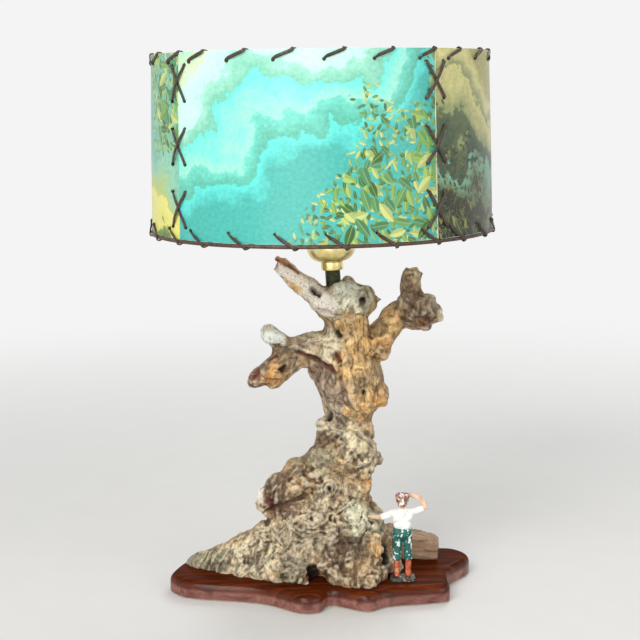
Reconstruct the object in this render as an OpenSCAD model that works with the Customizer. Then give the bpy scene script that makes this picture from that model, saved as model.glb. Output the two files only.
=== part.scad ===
// Driftwood table lamp: a burl of driftwood on a wavy plaque, a socket on a leaning pipe,
// and a drum shade of four laced panels that clips on the bulb and tilts on a pin.

/* [Base] */
// Width of the plaque, left to right
plaque_w = 257; // [250:1:300]
// Depth of the plaque, front to back
plaque_d = 151; // [148:1:190]
// Thickness of the wooden plaque
plaque_t = 14.5; // [13.5:0.5:24]
// Radius of the plaque's rounded top edge
edge_round = 5; // [2:0.5:6]
// Thickness of the felt under the plaque
felt_t = 1.5; // [1:0.25:4]
// How far the felt stops short of the plaque's edge
felt_inset = 2; // [1:0.5:6]
// Bore of the cord bushing in the rear edge
cord_bore = 6.4; // [5:0.1:7]
// Wall of the cord bushing's barrel
bushing_wall = 0.8; // [0.6:0.1:1]
// Length of the cord bushing's barrel
bushing_len = 14; // [8:0.5:24]
// Shank diameter of the wood screws that hold the burl
screw_d = 4.4; // [3:0.1:5]
// Length of the wood screws
screw_len = 36; // [25:1:40]

/* [Driftwood] */
// Height of the burl from the plaque to the seat of the lamp pipe
burl_h = 245; // [220:1:270]
// Length of the wooden block behind the figure
block_len = 48; // [40:1:52]
// Height of the wooden block at its high end
block_h = 28; // [20:1:36]
// Depth of the wooden block
block_d = 26; // [18:1:28]
// Height of the cast figure, with its foot plate
figure_h = 74; // [60:1:90]
// Thickness of the figure's foot plate
foot_plate_t = 2.5; // [1.5:0.25:4]

/* [Lamp pipe and socket] */
// How far the lamp pipe leans to the left, in degrees
lean = 3; // [0:0.5:5]
// Outside diameter of the lamp pipe
pipe_d = 9.6; // [9:0.1:11]
// Wall of the lamp pipe
pipe_wall = 1.5; // [1:0.1:2]
// Depth of the lamp pipe in the wood
pipe_sink = 62; // [40:1:90]
// Outside diameter of the dark coupling on the wood
coupling_d = 12.8; // [12.5:0.1:15]
// Height of the dark coupling
coupling_h = 10.5; // [8:0.5:16]
// Width of the faceted brass collar
collar_d = 18.5; // [16:0.5:24]
// Height of the faceted brass collar
collar_h = 7.5; // [5:0.5:12]
// Diameter of the socket cap's rim
cap_d = 40.5; // [40:0.5:48]
// Height of the socket cap
cap_h = 16; // [14:0.5:20]
// Thickness of the socket cap's and the shell's sheet brass
brass_t = 0.7; // [0.5:0.05:1]
// Height of the socket shell
shell_h = 43; // [40:0.5:50]
// Wall of the insulating sleeve
sleeve_t = 0.9; // [0.6:0.1:1.2]
// Diameter of the switch stem
stem_d = 3.2; // [2.5:0.1:4]
// Diameter of the switch knob
knob_d = 13; // [10:0.5:14]
// Length of the switch knob
knob_len = 16; // [10:0.5:20]

/* [Bulb] */
// Diameter of the bulb's globe
bulb_d = 60; // [56:1:66]
// Length of the bulb, contact to crown
bulb_len = 110; // [106:1:120]
// Diameter over the screw base's thread
thread_d = 26; // [25:0.1:26.4]
// Length of the bulb's base, contact to glass
bulb_base_h = 25; // [24:0.5:28]
// Wall of the bulb's glass
glass_t = 0.8; // [0.5:0.1:1.2]
// Wire diameter of the bulb clip
clip_wire = 2; // [1.5:0.1:2.5]
// Height of the tilt pin over the bulb's crown
clip_rise = 8; // [7:0.5:12]
// Diameter of the tilt pin
pin_d = 3; // [2.5:0.1:3.6]

/* [Shade] */
// Outside diameter of the shade at its bottom edge
shade_d = 280; // [250:1:320]
// Outside diameter of the shade at its top edge
shade_top_d = 273; // [250:1:320]
// Height of the shade's panels
shade_h = 141; // [130:1:180]
// Thickness of the panels
panel_t = 0.8; // [0.5:0.1:1.5]
// Gap between two panels at a seam
seam_gap = 0.8; // [0.5:0.1:2]
// How far the first seam is turned from the front, in degrees
seam_turn = 38.3; // [30:0.1:45]
// Height of the top edge over the tilt pin
spider_drop = 23; // [17:0.5:30]
// Wire diameter of the two rings
ring_wire = 3; // [2:0.1:4]
// Wire diameter of the spider's spokes
spoke_wire = 2.6; // [2:0.1:3.5]
// Diameter of the lace
lace_d = 2; // [1.5:0.1:2.2]
// Distance of the rim holes from the panel's edge
rim_margin = 7.5; // [6:0.5:9]
// Stitches along one panel's edge
stitches = 6; // [4:1:6]
// How far a stitch slants along the rim
stitch_slant = 14; // [10:0.5:16]
// Height of one laced cross
cross_h = 27; // [18:1:30]
// Laced crosses on a seam
crosses = 3; // [2:1:3]
// Distance of the seam holes from the seam
seam_margin = 9; // [7:0.5:10]
// Distance of the outermost crosses from the panel's edges
cross_margin = 9.5; // [9.5:0.5:18]

/* [Hidden] */
$fn = 64;
// Facets round a bore in the wood, a wire and a thin lead
bore_fn = 32;
wire_fn = 24;
lead_fn = 16;
// Clearance where two pieces sit together, and where one runs in the other
fit = 0.02;
run = 0.05;
// Clearance between pieces that only lie beside each other
clear = 0.3;
// Overshoot of a cut past the face that it opens
over = 1;

// Plaque: centre of its outline, and the outline's points as shares of half its width and depth
plaque_centre = [-4.5, -1];
plaque_shape = [[-1, -0.15], [-0.95, -0.38], [-0.83, -0.52], [-0.51, -0.64], [-0.33, -0.76], [-0.14, -1],
    [-0.02, -0.98], [0.06, -0.79], [0.28, -0.98], [0.42, -0.85], [0.68, -0.77], [0.82, -0.67],
    [0.83, -0.24], [0.98, 0.14], [1, 0.36], [0.91, 0.55], [0.76, 0.6], [0.5, 0.75], [0.19, 0.96],
    [-0.2, 1], [-0.6, 0.79], [-0.88, 0.36]];
plaque_steps = 5;
round_steps = 4;
plaque_top = felt_t + plaque_t;
seat_z = plaque_top + burl_h;

// Stack on the leaning lamp pipe, as heights along its axis over the seat
collar_s = coupling_h;
cap_s = collar_s + collar_h;
cap_top = cap_s + cap_h;
shell_tuck = 5;
shell_s = cap_top - shell_tuck;
shell_top = shell_s + shell_h;
bulb_s = shell_top - bulb_base_h;
crown_s = bulb_s + bulb_len;
globe_s = crown_s - bulb_d / 2;
pivot_s = crown_s + clip_rise;
seat_x = pivot_s * sin(lean);
pivot_z = seat_z + pivot_s * cos(lean);
// Where the pipe's axis meets the top of the plaque
cord_x = seat_x + burl_h * tan(lean);
cord_r = pipe_d / 2 - pipe_wall;
drill_r = pipe_d / 2 + clear;

// Cord bushing in the rear edge
bushing_r = cord_bore / 2 + bushing_wall;
flange_lip = 1.4;
flange_r = bushing_r + flange_lip;
flange_t = 1.5;
inlet_z = felt_t + plaque_t / 2;
// Share of the half depth at which the bushing's flange is let in
inlet_share = 0.9;
inlet_y = plaque_centre[1] + inlet_share * plaque_d / 2;

// Wood screws: places under the burl, head size
screw_at = [[-46, -6], [-8, -24], [34, -22]];
screw_head_r = screw_d;
screw_sink = 0.4;

// Sheet brass, sleeve and switch body, each inside the one before
cap_r = cap_d / 2;
shell_r = cap_r - brass_t - clear;
sleeve_r = shell_r - brass_t - clear;
body_r = sleeve_r - sleeve_t - clear;
contact_t = 0.8;
contact_r = 4;
body_top = bulb_s - clear - contact_t;
switch_s = cap_top + knob_d / 4;
thread_play = 0.5;
screw_shell_r = thread_d / 2 + thread_play;
knob_stand = 2;
knob_x = cap_r + knob_stand;
terminal_r = 1.5;
terminal_len = 5;
terminal_head_r = 2.6;
terminal_head_t = 1.8;
terminal_sink = 4;
terminal_flat = body_r - terminal_sink;

// Bulb and clip
globe_r = bulb_d / 2;
neck_step = 0.4;
neck_r = thread_d / 2 - neck_step;
glass_s = bulb_s + bulb_base_h;
// Contact at the bulb's tip, and the insulator between it and the screw base
tip_t = 1;
tip_r = 4.5;
insulator_t = 2.5;
insulator_r = 9;
base_foot = tip_t + insulator_t;
// How far the globe stays round below its middle, in degrees
globe_low = 42;
clip_r = globe_r + clear + clip_wire / 2;
// Angles over the globe's middle: of the wire loops' tops, and of the arms' ends at the yoke
loop_angle = 38;
arm_end = 88;
yoke_t = 1.4;
yoke_s = crown_s + clear;
ear_gap = 9;
ear_wall = 2;
ear_r = pin_d / 2 + ear_wall;
ear_t = 1.3;
hub_w = ear_gap - 2 * clear;
hub_plate_r = 9;
hub_plate_t = 1.6;
// Height of the hub's plate over the ears, for the tilt
hub_lift = 3.4;
hub_rise = ear_r + hub_lift;

// Shade levels and radii
top_z = pivot_z + spider_drop;
bottom_z = top_z - shade_h;
bottom_r = shade_d / 2;
top_r = shade_top_d / 2;
lace_r = lace_d / 2;
lace_off = lace_r + clear;
hole_play = 0.4;
hole_r = lace_r + hole_play;
ring_r = ring_wire / 2;
ring_gap = 0.15;
// How far the panels stand over the top ring
rim_rise = 0.7;
top_ring_z = top_z - ring_r - rim_rise;
top_ring_r = shade_r(top_ring_z) - panel_t - ring_gap - ring_r;
bottom_ring_z = bottom_z - ring_gap - ring_r;
bottom_ring_r = bottom_r - panel_t / 2;
// Four panels, and the turn that six stitches take at their own pitch, in degrees
panels = 4;
panel_turn = 360 / panels;
stitch_span = 93.6;
hole_pitch = stitch_span / stitches;
stitch_turn = stitch_slant / bottom_r * 180 / PI;
cross_pitch = (shade_h - 2 * cross_margin - cross_h) / (crosses - 1);
cross_gap = 0.6;
cross_lift = lace_d + cross_gap;
lace_sides = 6;

// Driftwood limbs, each a row of [x, y, height in percent of burl_h, radius]
stem = [[8, 2, 2, 33], [6, -2, 13, 34], [10, -3, 25, 26], [17, -2, 38, 27], [14, 0, 45, 23],
    [20, 0, 51, 18.5], [20, 0, 55, 20], [24, 0, 62, 28], [20, 0, 68, 29], [19, 0, 76, 24], [19, 0, 85, 19],
    [17, 0, 93, 18]];
head = [[9, 0, 93, 17.5], [24, 0, 93, 17.5], [35, 0, 93, 11]];
thorn = [[38, 0, 94, 6], [48, -2, 94, 2.5]];
top_stub = [[18, 8, 95, 10], [20, 6, 99.5, 6]];
white_stub = [[6, -3, 92, 12], [-8, -4, 97, 9.5], [-24, -5, 102, 8.5], [-36, -5, 107, 7.5]];
left_arm = [[12, -2, 75, 21], [-12, -4, 77, 15], [-28, -6, 76, 13], [-42, -8, 72, 12], [-52, -8, 68.5, 9.5],
    [-62, -8, 66, 4]];
left_spur = [[-28, -9, 74, 11], [-38, -11, 69.5, 8.5], [-43, -13, 66.5, 6]];
left_knob = [[-32, -5, 78, 10], [-43, -5, 81, 8.5]];
right_arm = [[38, 3, 75, 12], [50, 5, 82, 12], [62, 6, 88, 12], [77, 4, 89, 15]];
right_stub = [[76, 4, 92, 11], [73, 4, 97, 9.5], [74, 4, 103, 8.5]];
right_spur = [[86, 3, 88.5, 10], [99, 1, 87, 3.5]];
right_cut = [[52, 0, 82, 10], [44, -8, 75, 9]];
root_stub = [[8, -8, 38, 20], [-20, -12, 33, 16], [-44, -14, 25.5, 14.5], [-54, -15, 23, 13]];
left_root = [[-15, -10, 11, 30], [-48, -10, 9, 20], [-75, -8, 4.5, 16], [-95, -3, 2, 12.5], [-112, 3, 1, 8],
    [-119, 6, 0.5, 4]];
front_root = [[-10, -15, 14, 26], [-25, -36, 3.5, 15.5]];
front_right_root = [[20, -14, 16, 24], [27, -38, 8, 16], [31, -51, 3, 13]];
right_root = [[22, -6, 18, 25], [37, -12, 9, 19], [40, -14, 3, 16]];
pale_cap = [[22, -20, 17, 15], [26, -29, 18, 12]];
root_mass = [[4, -6, 22, 30], [-22, -12, 15, 29], [-5, -9, 9, 32]];
right_bump = [[40, -6, 63, 13], [46, -8, 61, 9]];
stem_lump = [[22, -10, 32, 22], [28, -8, 38, 17]];
back_left_root = [[2, 16, 12, 27], [-28, 34, 3, 14]];
back_right_root = [[10, 18, 12, 25], [22, 34, 3, 14]];
round_limbs = [stem, head, thorn, top_stub, left_arm, left_spur, left_knob, right_arm, right_spur, left_root,
    front_root, front_right_root, right_root, pale_cap, root_mass, right_bump, stem_lump, back_left_root,
    back_right_root];
cut_limbs = [white_stub, right_stub, right_cut, root_stub];
limb_fn = 12;
// Burl warts, wound up the stem by the golden angle between two heights in percent
warts = 20;
wart_r = 7;
wart_sizes = [0.8, 1, 1.2];
wart_from = 8;
wart_to = 80;
golden = 137.5;

// Wooden block: place and turn
block_at = [48, 9];
block_turn = -6;

// Figure: place of its foot plate, and its limbs as [x, y, z, radius] in percent of its height
figure_at = [63, -40];
figure_legs = [[5.8, 0, 55, 6.4], [5.9, 0.5, 33, 5.2], [6.2, 0, 14, 4.2]];
figure_boots = [[6.3, -0.8, 12, 4.5], [6.4, 0, 7, 3.9], [7, 6.5, 6, 3.3]];
figure_torso = [[0, 0, 57, 7], [0, 0, 66, 6.8], [0, 0, 75, 6.8]];
figure_shoulders = [[-9, 0, 78, 4.4], [9, 0, 78, 4.4]];
figure_hips = [[-4.5, 0, 57, 6.6], [4.5, 0, 57, 6.6]];
figure_chest = [[-6, 0, 72, 6], [6, 0, 72, 6]];
figure_neck = [[0, 0, 78, 4], [0, 0.5, 86, 3.6]];
figure_head = [[0, 0.5, 90.5, 6.3], [0, 0, 93, 6.8]];
figure_raised_arm = [[10, 0, 78, 4], [26, 2, 82.5, 3.2], [9.5, 7, 95, 2.6]];
figure_low_arm = [[-10, 0, 77.5, 4], [-23, -3, 73.5, 3.1], [-35, -5, 74.5, 2.5]];
foot_plate_w = 28;
foot_plate_d = 20;
figure_fn = 10;

// Places a child on the leaning axis of the lamp pipe, s above its seat on the wood
module on_pipe(s = 0) {
    translate([seat_x, 0, seat_z]) rotate([0, -lean, 0]) translate([0, 0, s]) children();
}

// Points round the shade: radius, degrees from the front towards the right, height
function round_shade(r, phi, z) = [r * sin(phi), -r * cos(phi), z];

// Outside radius of the tapering shade at a height
function shade_r(z) = bottom_r + (top_r - bottom_r) * (z - bottom_z) / shade_h;

// Angle of a rim hole on a panel, panels counted to the right from the front one
function panel_phi(panel) = seam_turn - panel_turn / 2 + panel_turn * panel;
function hole_phi(panel, i) = panel_phi(panel) + (i - (stitches - 1) / 2) * hole_pitch;

// Point on a smooth closed curve through four neighbouring points
function curve(a, b, c, d, t) =
    0.5 * (2 * b + (c - a) * t + (2 * a - 5 * b + 4 * c - d) * t * t + (3 * b - a - 3 * c + d) * t * t * t);

function plaque_point(i) = let (p = plaque_shape[(i + len(plaque_shape)) % len(plaque_shape)])
    plaque_centre + [p[0] * plaque_w / 2, p[1] * plaque_d / 2];

plaque_outline = [for (i = [0:len(plaque_shape) - 1], k = [0:plaque_steps - 1])
    curve(plaque_point(i - 1), plaque_point(i), plaque_point(i + 1), plaque_point(i + 2), k / plaque_steps)];

function unit(v) = v / norm(v);

// Outline drawn in by a distance, square to itself
function drawn_in(outline, inset) = [for (i = [0:len(outline) - 1])
    let (n = len(outline), along = unit(outline[(i + 1) % n] - outline[(i + n - 1) % n]))
    outline[i] + inset * [-along[1], along[0]]];

// Two triangles between neighbouring points of two rings of n points
function band(low, high, i, n) = let (j = (i + 1) % n)
    [[low + i, high + i, high + j], [low + i, high + j, low + j]];

// Turns a normal from one direction of travel to the next, with no twist
function carried(normal, from, to) = let (axis = cross(from, to))
    normal * (from * to) + cross(axis, normal) + axis * (axis * normal) / (1 + from * to);

// Travel directions at the points of a path, open or closed
function headings(path, closed) = let (n = len(path)) [for (i = [0:n - 1])
    unit(path[closed ? (i + 1) % n : min(i + 1, n - 1)] - path[closed ? (i + n - 1) % n : max(i - 1, 0)])];

// Solid tube of lace along a path
module lace(path, closed) {
    n = len(path);
    sides = lace_sides;
    ways = headings(path, closed);
    start = unit(cross(ways[0], [ways[0][1], ways[0][2], ways[0][0] + 1]));
    normals = [for (i = 0, v = start; i < n; v = carried(v, ways[i], ways[(i + 1) % n]), i = i + 1) v];
    last = carried(normals[n - 1], ways[n - 1], ways[0]);
    twist = closed ? atan2(last * cross(ways[0], start), last * start) : 0;
    rings = [for (i = [0:n - 1], k = [0:sides - 1])
        let (a = 360 * k / sides - twist * i / n, side = cross(ways[i], normals[i]))
        path[i] + lace_r * (cos(a) * normals[i] + sin(a) * side)];
    skin = [for (i = [0:closed ? n - 1 : n - 2], k = [0:sides - 1])
        each band(i * sides, ((i + 1) % n) * sides, k, sides)];
    ends = closed ? [] : [for (k = [1:sides - 2])
        each [[0, k, k + 1], [(n - 1) * sides, (n - 1) * sides + k + 1, (n - 1) * sides + k]]];
    polyhedron(rings, concat(skin, ends));
}

// Least gap of a lace to itself, measured on points a quarter of its thickness apart
function fine(path) = [for (i = [0:len(path) - 2])
    let (steps = ceil(norm(path[i + 1] - path[i]) / (lace_d / 4)))
    each [for (k = [0:steps - 1]) path[i] + (path[i + 1] - path[i]) * k / steps]];
function least_gap(path) = let (p = fine(path), skip = 24)
    min([for (i = [0:len(p) - skip - 1], j = [i + skip:2:len(p) - 1]) norm(p[i] - p[j])]) - lace_d;

// One whip stitch: out of its hole, slanting to the rim, over it and back inside to the next hole
function top_stitch(phi, next) = let (
    hole_z = top_z - rim_margin,
    over_phi = phi + stitch_turn,
    outside = shade_r(hole_z) + lace_off,
    inside = shade_r(hole_z) - panel_t - lace_off,
    ring_in = top_ring_r - ring_r - lace_off,
    bend = lace_d / bottom_r * 180 / PI
) [
    round_shade(inside, phi, hole_z),
    round_shade(outside, phi, hole_z),
    round_shade(outside, phi + bend, hole_z + lace_d),
    round_shade(top_r + lace_off, over_phi, top_z - lace_r / 2),
    round_shade(top_r, over_phi + bend / 2, top_z + lace_off),
    round_shade(top_ring_r, over_phi + bend, top_z + lace_off),
    round_shade(ring_in, over_phi + 1.5 * bend, top_ring_z + lace_r),
    round_shade(ring_in, over_phi + 2 * bend, top_ring_z - ring_r),
    round_shade(inside - lace_r / 2, next - bend, hole_z + lace_r / 2)
];
function bottom_stitch(phi, next) = let (
    hole_z = bottom_z + rim_margin,
    over_phi = phi + stitch_turn,
    outside = shade_r(hole_z) + lace_off,
    inside = shade_r(hole_z) - panel_t - lace_off,
    ring_out = bottom_ring_r + ring_r + lace_off,
    ring_in = bottom_ring_r - ring_r - lace_off,
    bend = lace_d / bottom_r * 180 / PI
) [
    round_shade(inside, phi, hole_z),
    round_shade(outside, phi, hole_z),
    round_shade(outside, phi + bend, hole_z - lace_d),
    round_shade(ring_out, over_phi, bottom_ring_z + lace_r),
    round_shade(ring_out - lace_r, over_phi + bend / 2, bottom_ring_z - ring_r - lace_r),
    round_shade(bottom_ring_r, over_phi + bend, bottom_ring_z - ring_r - lace_off),
    round_shade(ring_in + lace_r, over_phi + 1.5 * bend, bottom_ring_z - ring_r - lace_r),
    round_shade(ring_in, over_phi + 2 * bend, bottom_ring_z + ring_r),
    round_shade(inside - lace_r / 2, next - bend, hole_z - lace_r / 2)
];

// All the stitches' holes in turn, and the one after the last
function hole_in_turn(k) = hole_phi(floor(k / stitches), k % stitches);

// One laced cross: two diagonals outside, a straight run inside, then down behind to the next cross
function cross_rows(c) = top_z - cross_margin - c * cross_pitch;
function seam_point(seam, side, z, off) = let (
    r = off > 0 ? shade_r(z) + off : shade_r(z) - panel_t + off
) round_shade(r, seam + side * seam_margin / bottom_r * 180 / PI, z);
function laced_cross(seam, c) = let (
    high = cross_rows(c),
    low = high - cross_h,
    middle = (high + low) / 2,
    out = lace_off,
    slack = lace_d / seam_margin
) [
    seam_point(seam, -1, high, -out),
    seam_point(seam, -1, high, out),
    seam_point(seam, -1 + slack / 2, high - lace_d, out),
    seam_point(seam, 0, middle, out),
    seam_point(seam, 1 - slack / 2, low + lace_d, out),
    seam_point(seam, 1, low, out),
    seam_point(seam, 1, low, -out),
    seam_point(seam, 0, low, -out),
    seam_point(seam, -1, low, -out),
    seam_point(seam, -1, low, out),
    seam_point(seam, -1 + slack / 2, low + lace_d, out),
    seam_point(seam, -slack, middle - slack * cross_h / 2, out + cross_lift),
    seam_point(seam, slack, middle + slack * cross_h / 2, out + cross_lift),
    seam_point(seam, 1 - slack / 2, high - lace_d, out),
    seam_point(seam, 1, high, out),
    seam_point(seam, 1, high, -out),
    each c + 1 < crosses ? [
        seam_point(seam, 0.5, (high + low) / 2, -out - cross_lift),
        seam_point(seam, 0, low, -out - cross_lift),
        seam_point(seam, -0.5, low - (cross_pitch - cross_h) / 2, -out - lace_r)
    ] : [seam_point(seam, 1, high, -out - lace_d)]
];

module felt_pad() {
    color("tan") linear_extrude(felt_t) polygon(drawn_in(plaque_outline, felt_inset));
}

// Slab of the plaque with its quarter-round top edge
module plaque_slab() {
    n = len(plaque_outline);
    rings = [[0, felt_t], for (k = [0:round_steps]) let (a = 90 * k / round_steps)
        [edge_round * (1 - cos(a)), plaque_top - edge_round * (1 - sin(a))]];
    points = [for (ring = rings) each [for (p = drawn_in(plaque_outline, ring[0])) [p[0], p[1], ring[1]]]];
    last = (len(rings) - 1) * n;
    centre = len(points);
    sides = [for (k = [0:len(rings) - 2], i = [0:n - 1]) each band(k * n, (k + 1) * n, i, n)];
    caps = [for (i = [0:n - 1]) let (j = (i + 1) % n)
        each [[centre, i, j], [centre + 1, last + j, last + i]]];
    polyhedron(concat(points, [[each plaque_centre, felt_t], [each plaque_centre, plaque_top]]),
        concat(sides, caps));
}

module base_plaque() {
    shank_r = screw_d / 2 + clear;
    color("saddlebrown") difference() {
        plaque_slab();
        translate([cord_x, 0, inlet_z]) cylinder(h = plaque_t, r = bushing_r + fit);
        translate([cord_x, 0, inlet_z]) rotate([-90, 0, 0]) cylinder(h = plaque_d, r = bushing_r + fit);
        translate([cord_x, inlet_y, inlet_z]) rotate([-90, 0, 0])
            cylinder(h = plaque_d, r = flange_r + clear);
        for (p = screw_at) translate([p[0], p[1], felt_t - over]) {
            cylinder(h = plaque_t + 2 * over, r = shank_r);
            cylinder(h = over + screw_sink, r = screw_head_r + clear);
            translate([0, 0, over + screw_sink])
                cylinder(h = screw_d / 2, r1 = screw_head_r + clear, r2 = shank_r);
        }
    }
}

module base_screws() {
    color("gray") for (p = screw_at) translate([p[0], p[1], felt_t + screw_sink]) {
        cylinder(h = screw_d / 2, r1 = screw_head_r, r2 = screw_d / 2);
        cylinder(h = screw_len - screw_d, r = screw_d / 2);
        translate([0, 0, screw_len - screw_d]) cylinder(h = screw_d, r1 = screw_d / 2, r2 = screw_d / 8);
    }
}

module cord_bushing() {
    color("dimgray") translate([cord_x, inlet_y, inlet_z]) rotate([90, 0, 0]) difference() {
        union() {
            cylinder(h = bushing_len, r = bushing_r);
            translate([0, 0, -flange_t]) cylinder(h = flange_t, r = flange_r);
        }
        translate([0, 0, -flange_t - over])
            cylinder(h = bushing_len + flange_t + 2 * over, r = cord_bore / 2);
    }
}

// A limb's point in space
function limb_at(p) = [p[0], p[1], plaque_top + p[2] * burl_h / 100];

module ball(p) {
    translate(limb_at(p)) sphere(r = p[3], $fn = limb_fn);
}

// Disc at a limb's end, square to its last stretch
module cut_end(p, before) {
    way = limb_at(p) - limb_at(before);
    translate(limb_at(p)) rotate([0, acos(way[2] / norm(way)), atan2(way[1], way[0])])
        cylinder(h = over, r = p[3], $fn = limb_fn);
}

module limb(path, cut) {
    last = len(path) - 1;
    for (i = [1:last]) hull() {
        ball(path[i - 1]);
        if (cut && i == last) cut_end(path[i], path[i - 1]);
        else ball(path[i]);
    }
}

// Centre and girth of the stem at a height in percent
function stem_at(h, k) = lookup(h, [for (p = stem) [p[2], p[k]]]);

module burl() {
    color("burlywood") difference() {
        union() {
            for (path = round_limbs) limb(path, false);
            for (path = cut_limbs) limb(path, true);
            for (i = [0:warts - 1]) {
                h = wart_from + (wart_to - wart_from) * i / warts;
                reach = stem_at(h, 3) - wart_r / 3;
                ball([stem_at(h, 0) + reach * cos(golden * i), stem_at(h, 1) + reach * sin(golden * i), h,
                    wart_r * wart_sizes[i % len(wart_sizes)]]);
            }
        }
        translate([-plaque_w, -plaque_d, plaque_top - burl_h]) cube([2 * plaque_w, 2 * plaque_d, burl_h]);
        on_pipe(-pipe_sink) cylinder(h = pipe_sink + over, r = drill_r, $fn = bore_fn);
        on_pipe(0) cylinder(h = coupling_h, r = coupling_d / 2 + clear, $fn = bore_fn);
        on_pipe(-2 * burl_h) cylinder(h = 2 * burl_h, r = cord_r + clear, $fn = wire_fn);
        for (p = screw_at) translate([p[0], p[1], 0]) cylinder(h = felt_t + screw_sink + screw_len + clear,
            r = screw_d / 2 + clear, $fn = wire_fn);
    }
}

module wood_block() {
    low_end = 0.5 * block_h;
    nose = 0.1 * block_len;
    color("sienna") translate([block_at[0], block_at[1], plaque_top]) rotate([0, 0, block_turn])
        translate([0, block_d, 0]) rotate([90, 0, 0]) linear_extrude(block_d)
            polygon([[0, 0], [block_len, 0], [block_len + over, low_end], [block_len - nose, low_end + nose],
                [nose, block_h], [0, block_h - nose]]);
}

// A row of balls of the figure, in percent of its height, joined in turn
module figure_limb(path, mirrored = false) {
    size = figure_h / 100;
    for (i = [1:len(path) - 1]) hull() for (p = [path[i - 1], path[i]])
        translate(size * [mirrored ? -p[0] : p[0], p[1], p[2]]) sphere(r = size * p[3], $fn = figure_fn);
}

module figure() {
    size = figure_h / 100;
    color("seagreen") translate([figure_at[0], figure_at[1], plaque_top]) {
        translate([-foot_plate_w, -foot_plate_d, 0] * size / 2)
            cube([foot_plate_w * size, foot_plate_d * size, foot_plate_t]);
        for (mirrored = [false, true]) {
            figure_limb(figure_legs, mirrored);
            figure_limb(figure_boots, mirrored);
        }
        for (path = [figure_torso, figure_hips, figure_shoulders, figure_chest, figure_neck, figure_head,
            figure_raised_arm, figure_low_arm]) figure_limb(path);
    }
}

module lamp_pipe() {
    color("silver") on_pipe(-pipe_sink) difference() {
        cylinder(h = pipe_sink + cap_s + shell_tuck, r = pipe_d / 2);
        translate([0, 0, -over]) cylinder(h = pipe_sink + cap_s + shell_tuck + 2 * over, r = cord_r);
    }
}

module pipe_coupling() {
    color("darkslategray") on_pipe() difference() {
        cylinder(h = coupling_h, r = coupling_d / 2);
        translate([0, 0, -over]) cylinder(h = coupling_h + 2 * over, r = pipe_d / 2 + fit);
    }
}

module neck_collar() {
    color("goldenrod") on_pipe(collar_s) difference() {
        cylinder(h = collar_h, r = collar_d / 2, $fn = 12);
        translate([0, 0, -over]) cylinder(h = collar_h + 2 * over, r = pipe_d / 2 + fit);
    }
}

// Bowl of sheet brass with a straight rim
module socket_cap() {
    foot_r = collar_d / 2;
    bowl_h = 0.75 * cap_h;
    bend = [for (a = [0:15:90]) [foot_r + (cap_r - foot_r) * sin(a), bowl_h * (1 - cos(a))]];
    inner = [for (p = bend) [p[0] - brass_t, p[1] + brass_t]];
    rim = [[cap_r, cap_h], [cap_r - brass_t, cap_h]];
    back = [for (i = [len(inner) - 1:-1:0]) inner[i]];
    hole = pipe_d / 2 + fit;
    color("gold") on_pipe(cap_s) rotate_extrude()
        polygon(concat([[hole, 0]], bend, rim, back, [[hole, brass_t]]));
}

// Tube on the socket's axis with a round hole for the switch stem
module socket_tube(s, h, r, wall) {
    on_pipe(s) difference() {
        cylinder(h = h, r = r);
        translate([0, 0, -over]) cylinder(h = h + 2 * over, r = r - wall);
        translate([0, 0, switch_s - s]) rotate([0, 90, 0]) cylinder(h = cap_d, r = stem_d / 2 + clear);
    }
}

module socket_shell() {
    color("gold") socket_tube(shell_s, shell_h, shell_r, brass_t);
}

module insulating_sleeve() {
    color("peru") socket_tube(shell_s + clear, shell_h - 2 * clear, sleeve_r, sleeve_t);
}

module switch_body() {
    color("black") on_pipe() difference() {
        translate([0, 0, shell_s]) cylinder(h = body_top - shell_s, r = body_r);
        translate([0, 0, switch_s]) rotate([0, 90, 0]) cylinder(h = cap_d, r = stem_d / 2 + run);
        for (side = [90, 270]) translate([0, 0, switch_s]) rotate([0, 90, side]) {
            cylinder(h = cap_d, r = terminal_r + fit);
            translate([0, 0, terminal_flat]) cylinder(h = cap_d, r = terminal_head_r + clear);
        }
    }
}

module screw_shell() {
    color("goldenrod") on_pipe(body_top) difference() {
        cylinder(h = shell_top - body_top - over, r = screw_shell_r + brass_t);
        translate([0, 0, -over]) cylinder(h = shell_top - body_top + over, r = screw_shell_r);
    }
}

module centre_contact() {
    color("goldenrod") on_pipe(body_top) cylinder(h = contact_t, r = contact_r);
}

module terminal_screws() {
    color("silver") on_pipe(switch_s) for (side = [90, 270]) rotate([0, 90, side]) {
        translate([0, 0, terminal_flat - terminal_len]) cylinder(h = terminal_len, r = terminal_r);
        translate([0, 0, terminal_flat]) cylinder(h = terminal_head_t, r = terminal_head_r);
    }
}

module switch_stem() {
    stem_in = body_r / 3;
    color("silver") on_pipe(switch_s) rotate([0, 90, 0]) translate([0, 0, stem_in])
        cylinder(h = knob_x + knob_len / 2 - stem_in, r = stem_d / 2);
}

module switch_knob() {
    flutes = 12;
    flute_r = 1.2;
    flute_out = flute_r / 2;
    color("saddlebrown") on_pipe(switch_s) rotate([0, 90, 0]) translate([0, 0, knob_x]) difference() {
        cylinder(h = knob_len, r = knob_d / 2);
        translate([0, 0, -over]) cylinder(h = knob_len / 2 + over, r = stem_d / 2 + fit);
        for (i = [0:flutes - 1]) rotate([0, 0, 360 * i / flutes])
            translate([knob_d / 2 + flute_out, 0, -over])
                cylinder(h = knob_len + 2 * over, r = flute_r, $fn = wire_fn);
    }
}

// Outline of the glass: a neck that flares into the lower part of the globe, then the globe to its crown
function glass_line(inset) = let (
    r = globe_r - inset,
    neck = neck_r - inset,
    flare = globe_s - glass_s,
    rise = flare - r * sin(globe_low),
    join = r * cos(globe_low),
    pull = tan(globe_low) * rise
) concat(
    [for (t = [0:0.125:0.875])
        [neck + (join - neck) * (3 - 2 * t) * t * t + pull * (t - 1) * t * t, rise * t]],
    [for (a = [-globe_low:6:90]) [r * cos(a), flare + r * sin(a)]]);

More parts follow.
